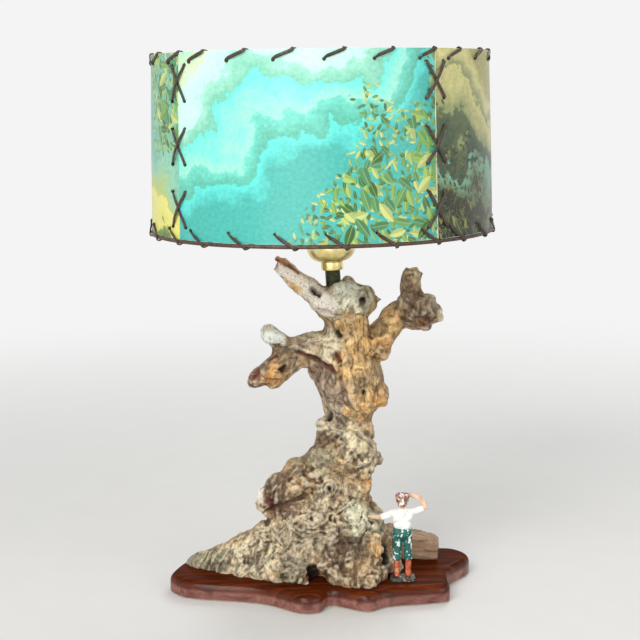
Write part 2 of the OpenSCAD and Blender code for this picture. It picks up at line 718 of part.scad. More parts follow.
module bulb_glass() {
    inner = glass_line(glass_t);
    color("white", 0.6) on_pipe(glass_s + fit) rotate_extrude()
        polygon(concat(glass_line(0), [for (i = [len(inner) - 1:-1:0]) inner[i]]));
}

// Screw base with its rolled thread drawn as rounded ridges
module bulb_base() {
    ridge = 3.6;
    steps = 6;
    depth = 0.7;
    wall = 3;
    turns = floor((bulb_base_h - base_foot - over) / ridge);
    crest = thread_d / 2;
    line = [for (i = [0:turns * steps])
        [crest - depth / 2 + depth / 2 * sin(360 * i / steps), base_foot + ridge * i / steps]];
    color("silver") on_pipe(bulb_s) rotate_extrude() polygon(concat([[crest - wall, base_foot]], line,
        [[crest - depth, bulb_base_h], [crest - wall, bulb_base_h]]));
}

module bulb_insulator() {
    color("black") on_pipe(bulb_s + tip_t)
        cylinder(h = insulator_t - fit, r1 = tip_r + clear, r2 = insulator_r);
}

module bulb_contact() {
    color("silver") on_pipe(bulb_s) cylinder(h = tip_t - fit, r1 = tip_r - tip_t, r2 = tip_r);
}

// Glass stem with two leads and the filament between them
module filament_mount() {
    stem_h = 0.6 * (globe_s - glass_s);
    stem_tip_r = 3;
    lead_r = 0.4;
    lead_in = 4;
    lead_h = globe_s - glass_s - stem_h;
    spread = 9;
    color("lightgray") on_pipe(glass_s) {
        translate([0, 0, fit]) cylinder(h = stem_h, r1 = neck_r - glass_t - clear, r2 = stem_tip_r);
        for (side = [-1, 1]) translate([side * spread / 2, 0, stem_h - over])
            rotate([0, side * atan(spread / 2 / lead_h), 0])
                translate([0, 0, -lead_in]) cylinder(h = lead_h + lead_in, r = lead_r, $fn = lead_fn);
        translate([-spread, 0, globe_s - glass_s - over]) rotate([0, 90, 0])
            cylinder(h = 2 * spread, r = lead_r, $fn = lead_fn);
    }
}

// Two wire loops that hug the globe, each on an arm that rises to the yoke with its two ears
module bulb_clip() {
    loop_r = clip_r * sin(loop_angle);
    color("silver") on_pipe() {
        for (side = [0, 180]) rotate([0, 0, side]) translate([0, 0, globe_s]) {
            translate([clip_r * cos(loop_angle), 0, 0]) rotate([0, 90, 0]) rotate_extrude()
                translate([loop_r, 0]) circle(d = clip_wire, $fn = wire_fn);
            rotate([90, 0, 0]) rotate([0, 0, loop_angle]) rotate_extrude(angle = arm_end - loop_angle)
                translate([clip_r, 0]) circle(d = clip_wire, $fn = wire_fn);
        }
        difference() {
            union() {
                translate([-ear_r, -ear_gap / 2 - ear_t, yoke_s])
                    cube([2 * ear_r, ear_gap + 2 * ear_t, yoke_t]);
                for (y = [-ear_gap / 2 - ear_t, ear_gap / 2]) {
                    translate([-ear_r, y, yoke_s]) cube([2 * ear_r, ear_t, pivot_s - yoke_s]);
                    translate([0, y, pivot_s]) rotate([-90, 0, 0]) cylinder(h = ear_t, r = ear_r);
                }
            }
            translate([0, -ear_gap, pivot_s]) rotate([-90, 0, 0])
                cylinder(h = 2 * ear_gap, r = pin_d / 2 + fit);
        }
    }
}

module tilt_pin() {
    reach = ear_gap / 2 + ear_t + clear;
    head_t = 1.2;
    head_lip = 1;
    color("silver") translate([0, 0, pivot_z]) rotate([-90, 0, 0]) {
        translate([0, 0, -reach]) cylinder(h = 2 * reach, r = pin_d / 2);
        for (z = [-reach - head_t, reach]) translate([0, 0, z])
            cylinder(h = head_t, r = pin_d / 2 + head_lip);
    }
}

// Hub on the tilt pin, its plate over the ears, and three spokes up to the top ring
module spider() {
    spoke_in = 2;
    spoke_from = hub_plate_r - spoke_in;
    spoke_to = top_ring_r - ring_r - ring_gap;
    hub_z = hub_rise + hub_plate_t / 2;
    fall = top_ring_z - pivot_z - hub_z;
    length = norm([spoke_to - spoke_from, fall]);
    spoke_phi = [for (p = [[0, stitches / 2], [1, stitches - 1], [3, 1]])
        hole_phi(p[0], p[1]) + stitch_turn / 2];
    color("silver") translate([0, 0, pivot_z]) difference() {
        union() {
            rotate([-90, 0, 0]) translate([0, 0, -hub_w / 2]) cylinder(h = hub_w, r = ear_r);
            translate([-ear_r, -hub_w / 2, 0]) cube([2 * ear_r, hub_w, hub_rise + hub_plate_t / 2]);
            translate([0, 0, hub_rise]) cylinder(h = hub_plate_t, r = hub_plate_r);
            for (phi = spoke_phi) rotate([0, 0, phi - 90]) translate([spoke_from, 0, hub_z])
                rotate([0, atan2(spoke_to - spoke_from, fall), 0])
                    cylinder(h = length, d = spoke_wire, $fn = wire_fn);
        }
        translate([0, -ear_gap, 0]) rotate([-90, 0, 0]) cylinder(h = 2 * ear_gap, r = pin_d / 2 + run);
    }
}

module wire_ring(r, z) {
    translate([0, 0, z]) rotate_extrude() translate([r, 0]) circle(d = ring_wire, $fn = wire_fn);
}

module top_ring() {
    color("dimgray") wire_ring(top_ring_r, top_ring_z);
}

module bottom_ring() {
    color("saddlebrown") wire_ring(bottom_ring_r, bottom_ring_z);
}

// Radial hole for the lace through a panel's wall
module lace_hole(phi, z) {
    translate([0, 0, z]) rotate([0, 0, phi - 90]) rotate([0, 90, 0])
        translate([0, 0, shade_r(z) - panel_t - over])
            cylinder(h = panel_t + 2 * over, r = hole_r, $fn = wire_fn);
}

// One panel of the shade, a quarter of the tapering drum with its lace holes
module panel(index) {
    gap_turn = seam_gap / bottom_r * 180 / PI;
    phi = panel_phi(index);
    seam_side = panel_turn / 2 - seam_margin / bottom_r * 180 / PI;
    section = [[bottom_r - panel_t, bottom_z], [bottom_r, bottom_z],
        [top_r, top_z], [top_r - panel_t, top_z]];
    difference() {
        rotate([0, 0, phi - 90 - panel_turn / 2 + gap_turn / 2])
            rotate_extrude(angle = panel_turn - gap_turn) polygon(section);
        for (i = [0:stitches - 1], z = [top_z - rim_margin, bottom_z + rim_margin])
            lace_hole(hole_phi(index, i), z);
        for (side = [-1, 1], c = [0:crosses - 1], low = [0, cross_h])
            lace_hole(phi + side * seam_side, cross_rows(c) - low);
    }
}

module front_panel() {
    color("mediumturquoise") panel(0);
}

module right_panel() {
    color("darkolivegreen") panel(1);
}

module back_panel() {
    color("mediumturquoise") panel(2);
}

module left_panel() {
    color("darkkhaki") panel(3);
}

module top_lacing() {
    path = [for (k = [0:panels * stitches - 1]) each top_stitch(hole_in_turn(k), hole_in_turn(k + 1))];
    echo(top_lacing_least_gap_mm = least_gap([for (i = [0:len(path) / panels]) path[i]]));
    color("black") lace(path, true);
}

module bottom_lacing() {
    path = [for (k = [0:panels * stitches - 1]) each bottom_stitch(hole_in_turn(k), hole_in_turn(k + 1))];
    echo(bottom_lacing_least_gap_mm = least_gap([for (i = [0:len(path) / panels]) path[i]]));
    color("black") lace(path, true);
}

module seam_lacing() {
    color("black") for (seam = [0:panels - 1]) {
        path = [for (c = [0:crosses - 1]) each laced_cross(seam_turn + panel_turn * seam, c)];
        if (seam == 0) echo(seam_lacing_least_gap_mm = least_gap(path));
        lace(path, false);
    }
}

felt_pad();
base_plaque();
base_screws();
cord_bushing();
burl();
wood_block();
figure();
lamp_pipe();
pipe_coupling();
neck_collar();
socket_cap();
socket_shell();
insulating_sleeve();
switch_body();
screw_shell();
centre_contact();
terminal_screws();
switch_stem();
switch_knob();
bulb_glass();
bulb_base();
bulb_insulator();
bulb_contact();
filament_mount();
bulb_clip();
tilt_pin();
spider();
top_ring();
bottom_ring();
front_panel();
right_panel();
back_panel();
left_panel();
top_lacing();
bottom_lacing();
seam_lacing();
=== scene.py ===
# %% [markdown]
# # A driftwood table lamp
# The CAD model already holds every size, joint and seat of this lamp. This lesson dresses it:
# weathered wood, varnish, brass, printed panels and lacing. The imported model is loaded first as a
# fixed frame, so each piece we model lands where the CAD says, in metres, with no fitting by eye.

# %% Load the frame
import math
from contextlib import contextmanager
from functools import partial
import bpy
import numpy as np
from mathutils import Matrix, Vector, noise


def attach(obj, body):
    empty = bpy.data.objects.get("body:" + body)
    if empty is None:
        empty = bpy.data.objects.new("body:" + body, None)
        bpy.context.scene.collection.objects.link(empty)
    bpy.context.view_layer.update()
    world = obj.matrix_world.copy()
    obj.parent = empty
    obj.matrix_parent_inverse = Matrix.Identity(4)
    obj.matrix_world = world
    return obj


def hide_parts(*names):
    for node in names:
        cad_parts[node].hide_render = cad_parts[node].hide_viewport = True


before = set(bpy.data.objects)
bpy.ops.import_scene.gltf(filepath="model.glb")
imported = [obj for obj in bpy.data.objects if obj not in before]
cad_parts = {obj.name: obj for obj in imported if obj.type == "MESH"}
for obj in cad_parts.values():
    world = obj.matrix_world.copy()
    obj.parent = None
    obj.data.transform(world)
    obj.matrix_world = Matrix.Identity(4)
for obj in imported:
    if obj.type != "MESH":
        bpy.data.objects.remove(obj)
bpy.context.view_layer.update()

MM = 0.001

# %% [markdown]
# Operators act on whatever is selected, so a few small helpers come first. They leave nothing selected
# but the piece at hand, open it in edit mode, add a modifier and apply it, and finish a piece: its
# place goes into its mesh, it gets its material, it is tied to its CAD body, and the nodes that it
# stands for are hidden.

# %% Working helpers
def take(piece=None):
    """Leave edit mode, deselect everything, and select one piece."""
    if bpy.context.object and bpy.context.object.mode != "OBJECT":
        bpy.ops.object.mode_set(mode="OBJECT")
    bpy.ops.object.select_all(action="DESELECT")
    if piece:
        bpy.context.view_layer.objects.active = piece
        piece.select_set(True)
    return piece


@contextmanager
def editing(action="SELECT"):
    """Edit mode on the piece at hand, with all of it selected, or its selection left as it is."""
    bpy.ops.object.mode_set(mode="EDIT")
    if action:
        bpy.ops.mesh.select_all(action=action)
    yield
    bpy.ops.object.mode_set(mode="OBJECT")


def shape(piece, kind, **settings):
    """Add a modifier with its settings and apply it."""
    take(piece)
    modifier = piece.modifiers.new(kind.lower(), kind)
    for name, value in settings.items():
        setattr(modifier, name, value)
    bpy.ops.object.modifier_apply(modifier=modifier.name)


def settle(piece):
    """Put a piece's place, turn and size in its mesh."""
    take(piece)
    bpy.ops.object.transform_apply(location=True, rotation=True, scale=True)


def finish_piece(piece, name, body, node_name, material, smooth=35):
    """Name a piece, smooth it and tie it to the CAD model."""
    settle(piece)
    piece.name = piece.data.name = name
    bpy.ops.object.shade_smooth_by_angle(angle=math.radians(smooth))
    if material:
        piece.data.materials.clear()
        piece.data.materials.append(material)
    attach(piece, body)
    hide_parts(node_name)
    print(name, "has", len(piece.data.polygons), "faces")


def piece_from(name, mesh):
    """A new piece that holds this mesh, selected."""
    piece = bpy.data.objects.new(name, mesh)
    bpy.context.collection.objects.link(piece)
    return take(piece)


def new_mesh(name, points, faces, edges=()):
    """A piece from points in millimetres."""
    mesh = bpy.data.meshes.new(name)
    mesh.from_pydata([Vector(p) * MM for p in points], list(edges), faces)
    return piece_from(name, mesh)


take()

# %% [markdown]
# The camera stands where the photograph was taken from: a little over a metre in front, level with
# the upper part of the shade, looking down by nine degrees. The rims of the shade are ellipses whose
# sag gives the height, and their spread gives the distance. A long lens keeps the sides upright.

# %% Camera
PHOTO_SIDE = 640
FOCAL_PX = 1397
CAMERA_AT = Vector((-2.9, -1154, 420)) * MM
PITCH = math.radians(9.39)
ROLL = math.radians(0.8)
bpy.ops.object.camera_add()
camera = bpy.context.object
camera.data.sensor_width = 36
camera.data.lens = camera.data.sensor_width * FOCAL_PX / PHOTO_SIDE
aim = Matrix.Rotation(math.pi / 2 - PITCH, 4, "X") @ Matrix.Rotation(-ROLL, 4, "Z")
camera.matrix_world = Matrix.Translation(CAMERA_AT) @ aim
bpy.context.scene.camera = camera
print("lens", round(camera.data.lens, 1), "mm")

# %% [markdown]
# Colours are picked as sRGB hex values and turned to the linear values that the sockets want. One
# function adds any shader node and returns its output: values for its first sockets in their order,
# then other sockets and settings by name, and its ramp if it has one. A socket takes a plain value or
# another node's output. A Map Range is given its value, from low and high, to low and high.

# %% Colour and node helpers
def paint(hex_colour):
    """Linear RGBA of an sRGB hex colour."""
    parts = [int(hex_colour[i:i + 2], 16) / 255 for i in (1, 3, 5)]
    return [v / 12.92 if v <= 0.04045 else ((v + 0.055) / 1.055) ** 2.4 for v in parts] + [1]


def plug(socket, value):
    """Give a socket a plain value, or link it to another node's output."""
    if isinstance(value, bpy.types.NodeSocket):
        socket.id_data.links.new(value, socket)
    else:
        socket.default_value = value


def wire(made, **sockets):
    """Fill a node's sockets by name, with _ for a space."""
    for name, value in sockets.items():
        plug(made.inputs[name.replace("_", " ")], value)


# A Mix node that mixes colours: its factor, first and second socket, and its output
MIX_SOCKETS, MIX_RESULT = (0, 6, 7), 2


def add_node(tree, kind, *values, ramp=(), out=0, **named):
    """Add a shader node with its sockets, settings and colour ramp, and return one output."""
    made = tree.nodes.new("ShaderNode" + kind)
    order = range(len(values))
    if kind == "Mix":
        made.data_type, order, out = "RGBA", MIX_SOCKETS, MIX_RESULT
    for name, value in named.items():
        if name.replace("_", " ") in made.inputs:
            wire(made, **{name: value})
        else:
            setattr(made, name, value)
    for spot, value in zip(order, values):
        plug(made.inputs[spot], value)
    if ramp:
        stops = made.color_ramp.elements
        while len(stops) < len(ramp):
            stops.new(0.5)
        for stop, (spot, colour) in zip(stops, ramp):
            stop.position, stop.color = spot, paint(colour)
    return made.outputs[out] if made.outputs else None


def start_material(name, **sockets):
    """A new material, the adder of its nodes, its shader and Object coordinates."""
    material = bpy.data.materials.new(name)
    material.use_nodes = True
    node = partial(add_node, material.node_tree)
    shader = material.node_tree.nodes["Principled BSDF"]
    wire(shader, **sockets)
    return material, node, shader, node("TexCoord", out="Object")


def per(mm):
    """Texture scale, per metre, of a pattern that repeats at this many millimetres."""
    return 1 / (mm * MM)


bpy.context.scene.view_settings.view_transform = "Standard"
print("view transform:", bpy.context.scene.view_settings.view_transform)

# %% [markdown]
# The stage is a plain pale floor under soft studio light. The background is white for the camera and
# for reflections only, so that it never adds light of its own to the wood.

# %% Floor and light
BACKDROP = paint("#f4f4f4")
PAPER_NEAR, PAPER_FAR = 0.3, 1.5
LAMPS_AIM = Vector((0, 0, 0.22))


def looked_at(node):
    """1 for rays that come from the camera, a mirror or glass, and 0 for those that light things."""
    rays = node("LightPath").node.outputs
    shown = node("Math", rays["Is Camera Ray"], rays["Is Glossy Ray"], operation="MAXIMUM")
    return node("Math", shown, rays["Is Transmission Ray"], operation="MAXIMUM")


bpy.ops.mesh.primitive_plane_add(size=40)
floor = bpy.context.object
floor.name = "studio_floor"
# Matt paper, a little uneven in tone
floor_paper, node, shader, place = start_material("pale_floor_paper", Roughness=0.6)
tone = node("TexNoise", place, Scale=per(40), Detail=4)
wire(shader, Base_Color=node("ValToRGB", tone, ramp=[(0.3, "#dfddd9"), (0.7, "#e1dfdb")]))
# Far from the lamp the paper goes over into the white backdrop, for the camera and reflections only
away = node("VectorMath", place, operation="LENGTH", out="Value")
away = node("MapRange", away, PAPER_NEAR, PAPER_FAR, interpolation_type="SMOOTHSTEP")
fade = node("Math", looked_at(node), away, operation="MULTIPLY")
paper = node("MixShader", fade, shader.outputs[0], node("Emission", BACKDROP, 1))
wire(floor_paper.node_tree.nodes["Material Output"], Surface=paper)
floor.data.materials.append(floor_paper)

world = bpy.data.worlds.new("studio")
bpy.context.scene.world = world
world.use_nodes = True
world.node_tree.nodes.clear()
node = partial(add_node, world.node_tree)
soft_sky = node("Background", paint("#eef1f4"), 0.46)
node("OutputWorld", node("MixShader", looked_at(node), soft_sky, node("Background", BACKDROP, 1)))

# Each lamp: name, place and size in metres, watts
LAMPS = [("key", (-0.9, -1.5, 1.5), 1.1, 26), ("front", (-0.5, -1.7, 0.35), 1.2, 13),
         ("fill", (1.5, -1.2, 0.8), 1.4, 9), ("rim", (0.6, 1.4, 1.5), 1.0, 12)]
for name, at, size, watts in LAMPS:
    bpy.ops.object.light_add(type="AREA", location=at)
    lamp = bpy.context.object
    lamp.name = name + "_lamp"
    lamp.data.energy, lamp.data.size = watts, size
    lamp.rotation_euler = (LAMPS_AIM - lamp.location).to_track_quat("-Z", "Y").to_euler()
print("lamps:", [row[0] for row in LAMPS])

# %% [markdown]
# The plaque is a board of dark mahogany sawn to a wavy outline, with its top edge rounded over and
# varnished. By hand: take a disc, pull its rim to the outline, extrude it down by the board's
# thickness and bevel its top rim. The outline is the CAD one, a smooth curve through 22 points given
# as shares of half the width and depth.

# %% Plaque
PLAQUE_W, PLAQUE_D, PLAQUE_T, FELT_T = 257, 151, 14.5, 1.5
PLAQUE_AT = (-4.5, -1)
PLAQUE_TOP = PLAQUE_T + FELT_T
PLAQUE_SHAPE = [
    (-1, -0.15), (-0.95, -0.38), (-0.83, -0.52), (-0.51, -0.64), (-0.33, -0.76), (-0.14, -1),
    (-0.02, -0.98), (0.06, -0.79), (0.28, -0.98), (0.42, -0.85), (0.68, -0.77), (0.82, -0.67),
    (0.83, -0.24), (0.98, 0.14), (1, 0.36), (0.91, 0.55), (0.76, 0.6), (0.5, 0.75), (0.19, 0.96),
    (-0.2, 1), (-0.6, 0.79), (-0.88, 0.36)]


def curve_point(a, b, c, d, t):
    """The point t of the way from b to c on the smooth curve through four points."""
    return 0.5 * (2 * b + (c - a) * t + (2 * a - 5 * b + 4 * c - d) * t ** 2
                  + (3 * b - a - 3 * c + d) * t ** 3)


def outline(inset=0, steps=8):
    """The plaque's outline in millimetres, drawn in square to itself."""
    knots = np.array(PLAQUE_SHAPE) * (PLAQUE_W / 2, PLAQUE_D / 2) + PLAQUE_AT
    four = [np.roll(knots, 1 - i, axis=0) for i in range(4)]
    line = np.stack([curve_point(*four, t) for t in np.arange(steps) / steps], axis=1).reshape(-1, 2)
    along = np.roll(line, -1, axis=0) - np.roll(line, 1, axis=0)
    along /= np.linalg.norm(along, axis=1)[:, None]
    return line + inset * np.stack((-along[:, 1], along[:, 0]), axis=1)


def board(points, top, thick, rounding, segments):
    """A board of this outline: a filled disc pulled to shape, extruded down, its top rim rounded."""
    take()
    bpy.ops.mesh.primitive_circle_add(vertices=len(points), fill_type="NGON", location=(0, 0, top * MM))
    piece = bpy.context.object
    for vertex, (x, y) in zip(piece.data.vertices, points):
        vertex.co = x * MM, y * MM, 0
    with editing():
        bpy.ops.mesh.extrude_region_move(TRANSFORM_OT_translate={"value": (0, 0, -thick * MM)})
        bpy.ops.mesh.select_all(action="SELECT")
        bpy.ops.mesh.normals_make_consistent(inside=False)
        bpy.ops.mesh.select_all(action="DESELECT")
    for edge in piece.data.edges:
        edge.select = all(abs(piece.data.vertices[v].co.z) < 0.1 * MM for v in edge.vertices)
    with editing(None):
        bpy.ops.mesh.select_mode(type="EDGE")
        bpy.ops.mesh.bevel(offset=rounding * MM, segments=segments, profile=0.5)
    return piece


# Mahogany under varnish: long grain with dark pores, glossier where the edge is rounded over, and paler and
# pinker from the lower rounding down, where that colour is painted light
mahogany, node, shader, place = start_material("varnished_mahogany", Coat_Roughness=0.22, Coat_IOR=1.5,
                                               Specular_IOR_Level=0)
ROUNDING, EDGE_LIGHT_FROM, EDGE_LIGHT_TO, DULL_FROM = 6.5, 6, 8.5, 1.5
edge_light_from, edge_light_to, dull_from = ((PLAQUE_TOP - drop) * MM for drop in (EDGE_LIGHT_FROM, EDGE_LIGHT_TO, DULL_FROM))
BOARD_TURN = (0, 0, 0.09)
height = node("SeparateXYZ", place, out=2)
along = node("Mapping", place, Rotation=BOARD_TURN, Scale=(per(70), per(5), per(9)))
grain = node("TexNoise", along, Scale=1, Detail=6, Distortion=0.8)
wood = node("ValToRGB", grain,
            ramp=[(0.26, "#341206"), (0.45, "#4c1d09"), (0.58, "#5d270d"), (0.76, "#703214")])
# Painted light: below the rounding the wood is paler and pinker, as if lit from the bright floor
painted_edge_light = node("ValToRGB", grain,
            ramp=[(0.28, "#583029"), (0.45, "#784a40"), (0.58, "#8a5b4f"), (0.75, "#a27466")])
both = node("Mix", node("MapRange", height, edge_light_from, edge_light_to), wood, painted_edge_light)
fine = node("Mapping", place, Rotation=BOARD_TURN, Scale=(per(12), per(0.7), per(0.7)))
pores = node("TexNoise", fine, Scale=1, Detail=2)
pores = node("ValToRGB", pores, ramp=[(0.34, "#000000"), (0.46, "#ffffff")])
swell = node("TexNoise", place, Scale=per(22), Detail=3)
bump = node("Bump", Height=swell, Strength=0.25, Distance=0.8 * MM)
wire(shader, Base_Color=node("Mix", 0.3, both, pores, blend_type="MULTIPLY"),
     Roughness=node("MapRange", swell, 0, 1, 0.35, 0.6),
     Coat_Weight=node("MapRange", height, edge_light_from, dull_from, 0.8, 0.1), Normal=bump, Coat_Normal=bump)

plaque = board(outline(), PLAQUE_TOP, PLAQUE_T, ROUNDING, 9)
finish_piece(plaque, "plaque_board", "stand", "base_plaque", mahogany, 30)

# %% [markdown]
# A sheet of felt is glued underneath. Only its edge shows, as a thin pale line that the plaque
# stands on. It is the same board made thin, with its cut edge softened.

# %% Felt
FELT_INSET, FELT_ROUNDING = 1.2, 0.4
# Pressed wool: matt and fuzzy, mottled by its fibres
felt_fibre, node, shader, place = start_material("pressed_wool_felt", Roughness=0.95, Specular_IOR_Level=0.1,
                                                 Sheen_Weight=0.3)
fuzz = node("TexNoise", place, Scale=per(0.9), Detail=5)
wire(shader, Base_Color=node("ValToRGB", fuzz, ramp=[(0.3, "#8e8574"), (0.7, "#c3baa6")]),
     Normal=node("Bump", Height=fuzz, Strength=0.6, Distance=0.4 * MM))
felt = board(outline(FELT_INSET), FELT_T, FELT_T, FELT_ROUNDING, 2)
finish_piece(felt, "felt_sheet", "stand", "felt_pad", felt_fibre)

# %% [markdown]
# The burl is the lamp's showpiece: a root and trunk of driftwood with curly, pitted grain below and
# smooth amber limbs above. A digital sculptor would rough out the mass, remesh it to even clay and
# carve it. The CAD solid is that rough mass, so a copy of its mesh is merged, lumps of clay are
# pressed on where the wood bulges, and the whole is remeshed to voxels of little over a millimetre and
# relaxed until the facets are gone.

# %% Burl: clay
VOXEL = 1.22
# Lumps of clay: x, y, z, radius
LUMPS = [(-6, -12, 250, 8), (1, -14, 247, 8.8), (7, -13.5, 244, 7.5), (34, -7, 250, 9), (14, -9, 255, 8),
    (-37, -9, 282, 4), (-8, -10, 241, 3.2), (-3, -11, 240, 3.2), (-45, -8, 219, 8.5), (-41, -10, 216, 7),
    (80, -5, 236, 13.5), (88, -3, 244, 7), (70, -5, 244, 9), (93, -1, 236, 6.5), (84, -8, 228, 8),
    (70, 2, 270, 3.4), (77, -1, 271, 3), (82, 3, 267, 2.6), (-46, -12, 187, 9.5), (-40, -15, 189, 8.5),
    (-57, -10, 182, 7.5), (49, -4, 170, 5.5), (49, -4, 159, 5), (24, -15, 129, 15), (34, -9, 117, 12),
    (4, -12, 141, 10), (-4, -14, 112, 14), (3, -17, 91, 15), (36, -12, 138, 8), (28, -12, 96, 14),
    (-24, -17, 104, 12), (-40, -18, 92, 11), (-52, -17, 79, 10), (25, -24, 68, 14), (38, -18, 60, 12),
    (-30, -22, 60, 15), (-52, -16, 46, 14), (-12, -27, 62, 16), (8, -30, 52, 15), (34, -40, 44, 11),
    (22, -46, 34, 13), (44, -22, 32, 12), (-74, -12, 30, 13), (-92, -6, 25, 10), (-27, -40, 26, 11),
    (2, -38, 30, 12), (30, -52, 24, 9), (-42, -34, 24, 13), (-55, -29, 21, 11), (-70, -23, 18, 9),
    (-86, -15, 17, 8), (10, -46, 24, 11), (20, -53, 20, 9), (41, -38, 22, 10), (-22, -42, 18, 9),
    (41, -39, 62, 3.4), (42, -42, 53, 3.4), (43, -44, 44, 3.4), (43, -45, 35, 3.6), (53, -31, 26, 7),
    (56, -24, 22, 7), (-6, 20, 70, 20), (20, 22, 60, 18), (24, 14, 130, 16), (6, 16, 110, 18),
    (30, 12, 172, 14), (8, 14, 190, 16)]
burl = piece_from("burl_wood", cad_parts["burl"].data.copy())
with editing():
    bpy.ops.mesh.remove_doubles(threshold=0.02 * MM)
    for x, y, z, radius in LUMPS:
        bpy.ops.mesh.primitive_uv_sphere_add(segments=24, ring_count=16, radius=radius * MM,
                                             location=Vector((x, y, z)) * MM)
shape(burl, "REMESH", mode="VOXEL", voxel_size=VOXEL * MM)
shape(burl, "SMOOTH", factor=0.5, iterations=20)
print("burl clay:", len(burl.data.vertices), "points")

# %% [markdown]
# Next come the carver's tools, all in millimetres. Holes, cracks and scars are strokes: a line, a width
# and a depth, which lay on wood of one tone; the near-black tone in the knot holes is painted shade.
# Weathering is blots: a tone round a point, though the pale blot on the crown is a painted highlight
# and one dark blot low by the root a painted shadow. The tones are few, as on real driftwood, and each
# limb gets the ones that it shows.

# %% Burl: strokes and blots
# The near-black tone is painted shade in the knot holes; the palest bluish tone is lime, and on the crown a
# painted highlight; the rust tone is also used once, low by the root, as a painted shadow
TONES = {
    "chalk": "#f8f2e8", "frost": "#e4ebe4", "sage": "#dcddc2", "cream": "#d3c8aa", "olive": "#989276",
    "honey": "#d4ac70", "amber": "#c98f48", "tan": "#a98f6a", "stone": "#b4a78c", "mauve": "#8f7864",
    "umber": "#75604a", "rust": "#75482f", "oxblood": "#552616", "ochre": "#a05c32", "crack": "#4a3020",
    "pit": "#1e130b"}
# How thickly a tone is crusted with lime
CRUSTED = {"chalk": 1.3, "frost": 1.3, "sage": 0.35, "cream": 0.28, "stone": 0.22, "olive": 0.15}
# Each stroke: x, y, z of its start and of its end, radius, depth
KNOT_HOLES = [(32, -16, 248, 33, -15, 247, 2.6, 5), (-8, -16, 257, -4, -16, 254, 2.6, 5.5),
    (11, -18, 222, 12, -19, 219.5, 2.4, 6.5), (-34, -22, 192, -33, -22, 190, 3, 4.5),
    (2.7, -33, 92.9, 3.5, -33, 90, 1.8, 4.5), (-8, -14, 163, 4, -18, 150, 2.8, 4.5),
    (32.6, -25, 172.4, 32.6, -25, 171, 1.6, 2.2), (-12, -47, 27, -11, -42, 17, 4, 5),
    (49, -30, 40, 47, -32, 22, 3, 4), (14, 24, 190, 18, 26, 176, 3.2, 5), (-6, 36, 90, 2, 36, 80, 3.6, 5),
    (20, 20, 232, 24, 18, 226, 3, 4), (36, 26, 112, 36, 24, 102, 3, 4)]
ROTTED_HOLLOWS = [(9.5, -22, 204, 12.5, -24, 199, 2.4, 3.5), (-22, -19, 206, -9, -20, 200, 2, 2.6),
    (-9, -20, 200, 6, -24, 191, 2.4, 4), (-48, -28, 82, -45, -30, 73, 3.4, 4.5),
    (-62, -20, 184, -56, -15, 189, 2.6, 2.6), (-47, -18, 200, -40, -19, 203, 1.8, 2)]
CRACKS = [(72, -19, 233, 90, -13, 231, 1.5, 2.6), (76, -18, 227, 92, -10, 224, 1.3, 2.2),
    (68, -14, 246, 80, -17, 238, 1.4, 2), (86, -9, 241, 92, -6, 238, 2, 2.6),
    (16, -32, 136, 14, -28, 118, 1.8, 2.8), (27, -27, 138, 38, -20, 126, 1.6, 2.4),
    (4, -22, 156, 20, -24, 147, 1.8, 2.6), (38, -18, 110, 26, -26, 106, 2, 3),
    (-48, -26, 92, -26, -28, 110, 1.8, 2.6), (-44, -30, 74, -16, -30, 86, 2.2, 3.4),
    (18, -46, 52, 38, -38, 52, 2.4, 3.6), (12, -44, 62, 14, -50, 30, 2.4, 4),
    (24, -58, 40, 22, -60, 22, 1.6, 2.6), (-44, -16, 209, -36, -18, 211, 1.6, 1.8),
    (-58, -30, 46, -64, -28, 24, 1.6, 2.4), (-80, -24, 36, -86, -22, 20, 1.6, 2),
    (-99, -14, 28, -103, -12, 18, 1.4, 1.6)]
SEAMS = [(8, -18, 256, 12, -24, 243, 1.2, 1.8), (66, -6, 259, 82, -6, 257, 1.3, 1.4),
    (34.4, -25, 183.3, 34.4, -25, 182.5, 1.3, 1.4), (-28, -15, 275, -12, -16, 264, 0.9, 1.2),
    (-10, -9, 268, 0, -9, 263, 1.8, 1.4), (36, -16, 218, 44, -14, 200, 1.3, 1.6),
    (44, -14, 200, 56, -12, 206, 1.3, 1.6), (-5, -18, 239, 12, -22, 235, 2, 3.6),
    (12, -22, 235, 28, -22, 234, 1.7, 3), (28, -22, 234, 41, -16, 237, 1.5, 2.4),
    (13, -26, 190, 15, -26, 174, 1.6, 2.2), (15, -26, 174, 23, -27, 157, 1.6, 2.2),
    (36, -24, 226, 44, -20, 214, 1.2, 1.6), (-30, -16, 212, -38, -18, 200, 1.3, 1.6),
    (56, -10, 228, 66, -10, 220, 1.2, 1.4), (20, -25, 200, 28, -27, 172, 0.9, 1),
    (44, -16, 176, 40, -20, 158, 1.4, 1.8)]
SPLIT_STUB = [(-37, -12, 284, -19, -11, 273, 2.6, 2.8), (-41, -6, 276, -38, -9, 281, 2.6, 1.6)]
BARKED_STUB = [(-34, -11, 265, -19, -14, 256, 2.2, 0.8)]
# Depths below nothing are ridges
RIDGES = [(-25, -20, 211, -10, -22, 205, 2, -1.6), (-10, -22, 205, 8, -25, 197, 2, -1.5),
    (0, -22, 214, 14, -23, 210, 1.8, -1.4)]
# Broad hollows take away wood and leave its tone
HOLLOWS = [(-66, -8, 196, -50, -9, 203, 7, 4), (-19, -6, 153, -17, -6, 142, 7, 6),
    (47, -4, 148, 46, -4, 138, 6, 4.5), (50, -6, 128, 47, -6, 116, 5, 3), (45, -6, 96, 44, -6, 86, 8, 6),
    (-69, -14, 88, -67, -14, 78, 7, 4.5)]
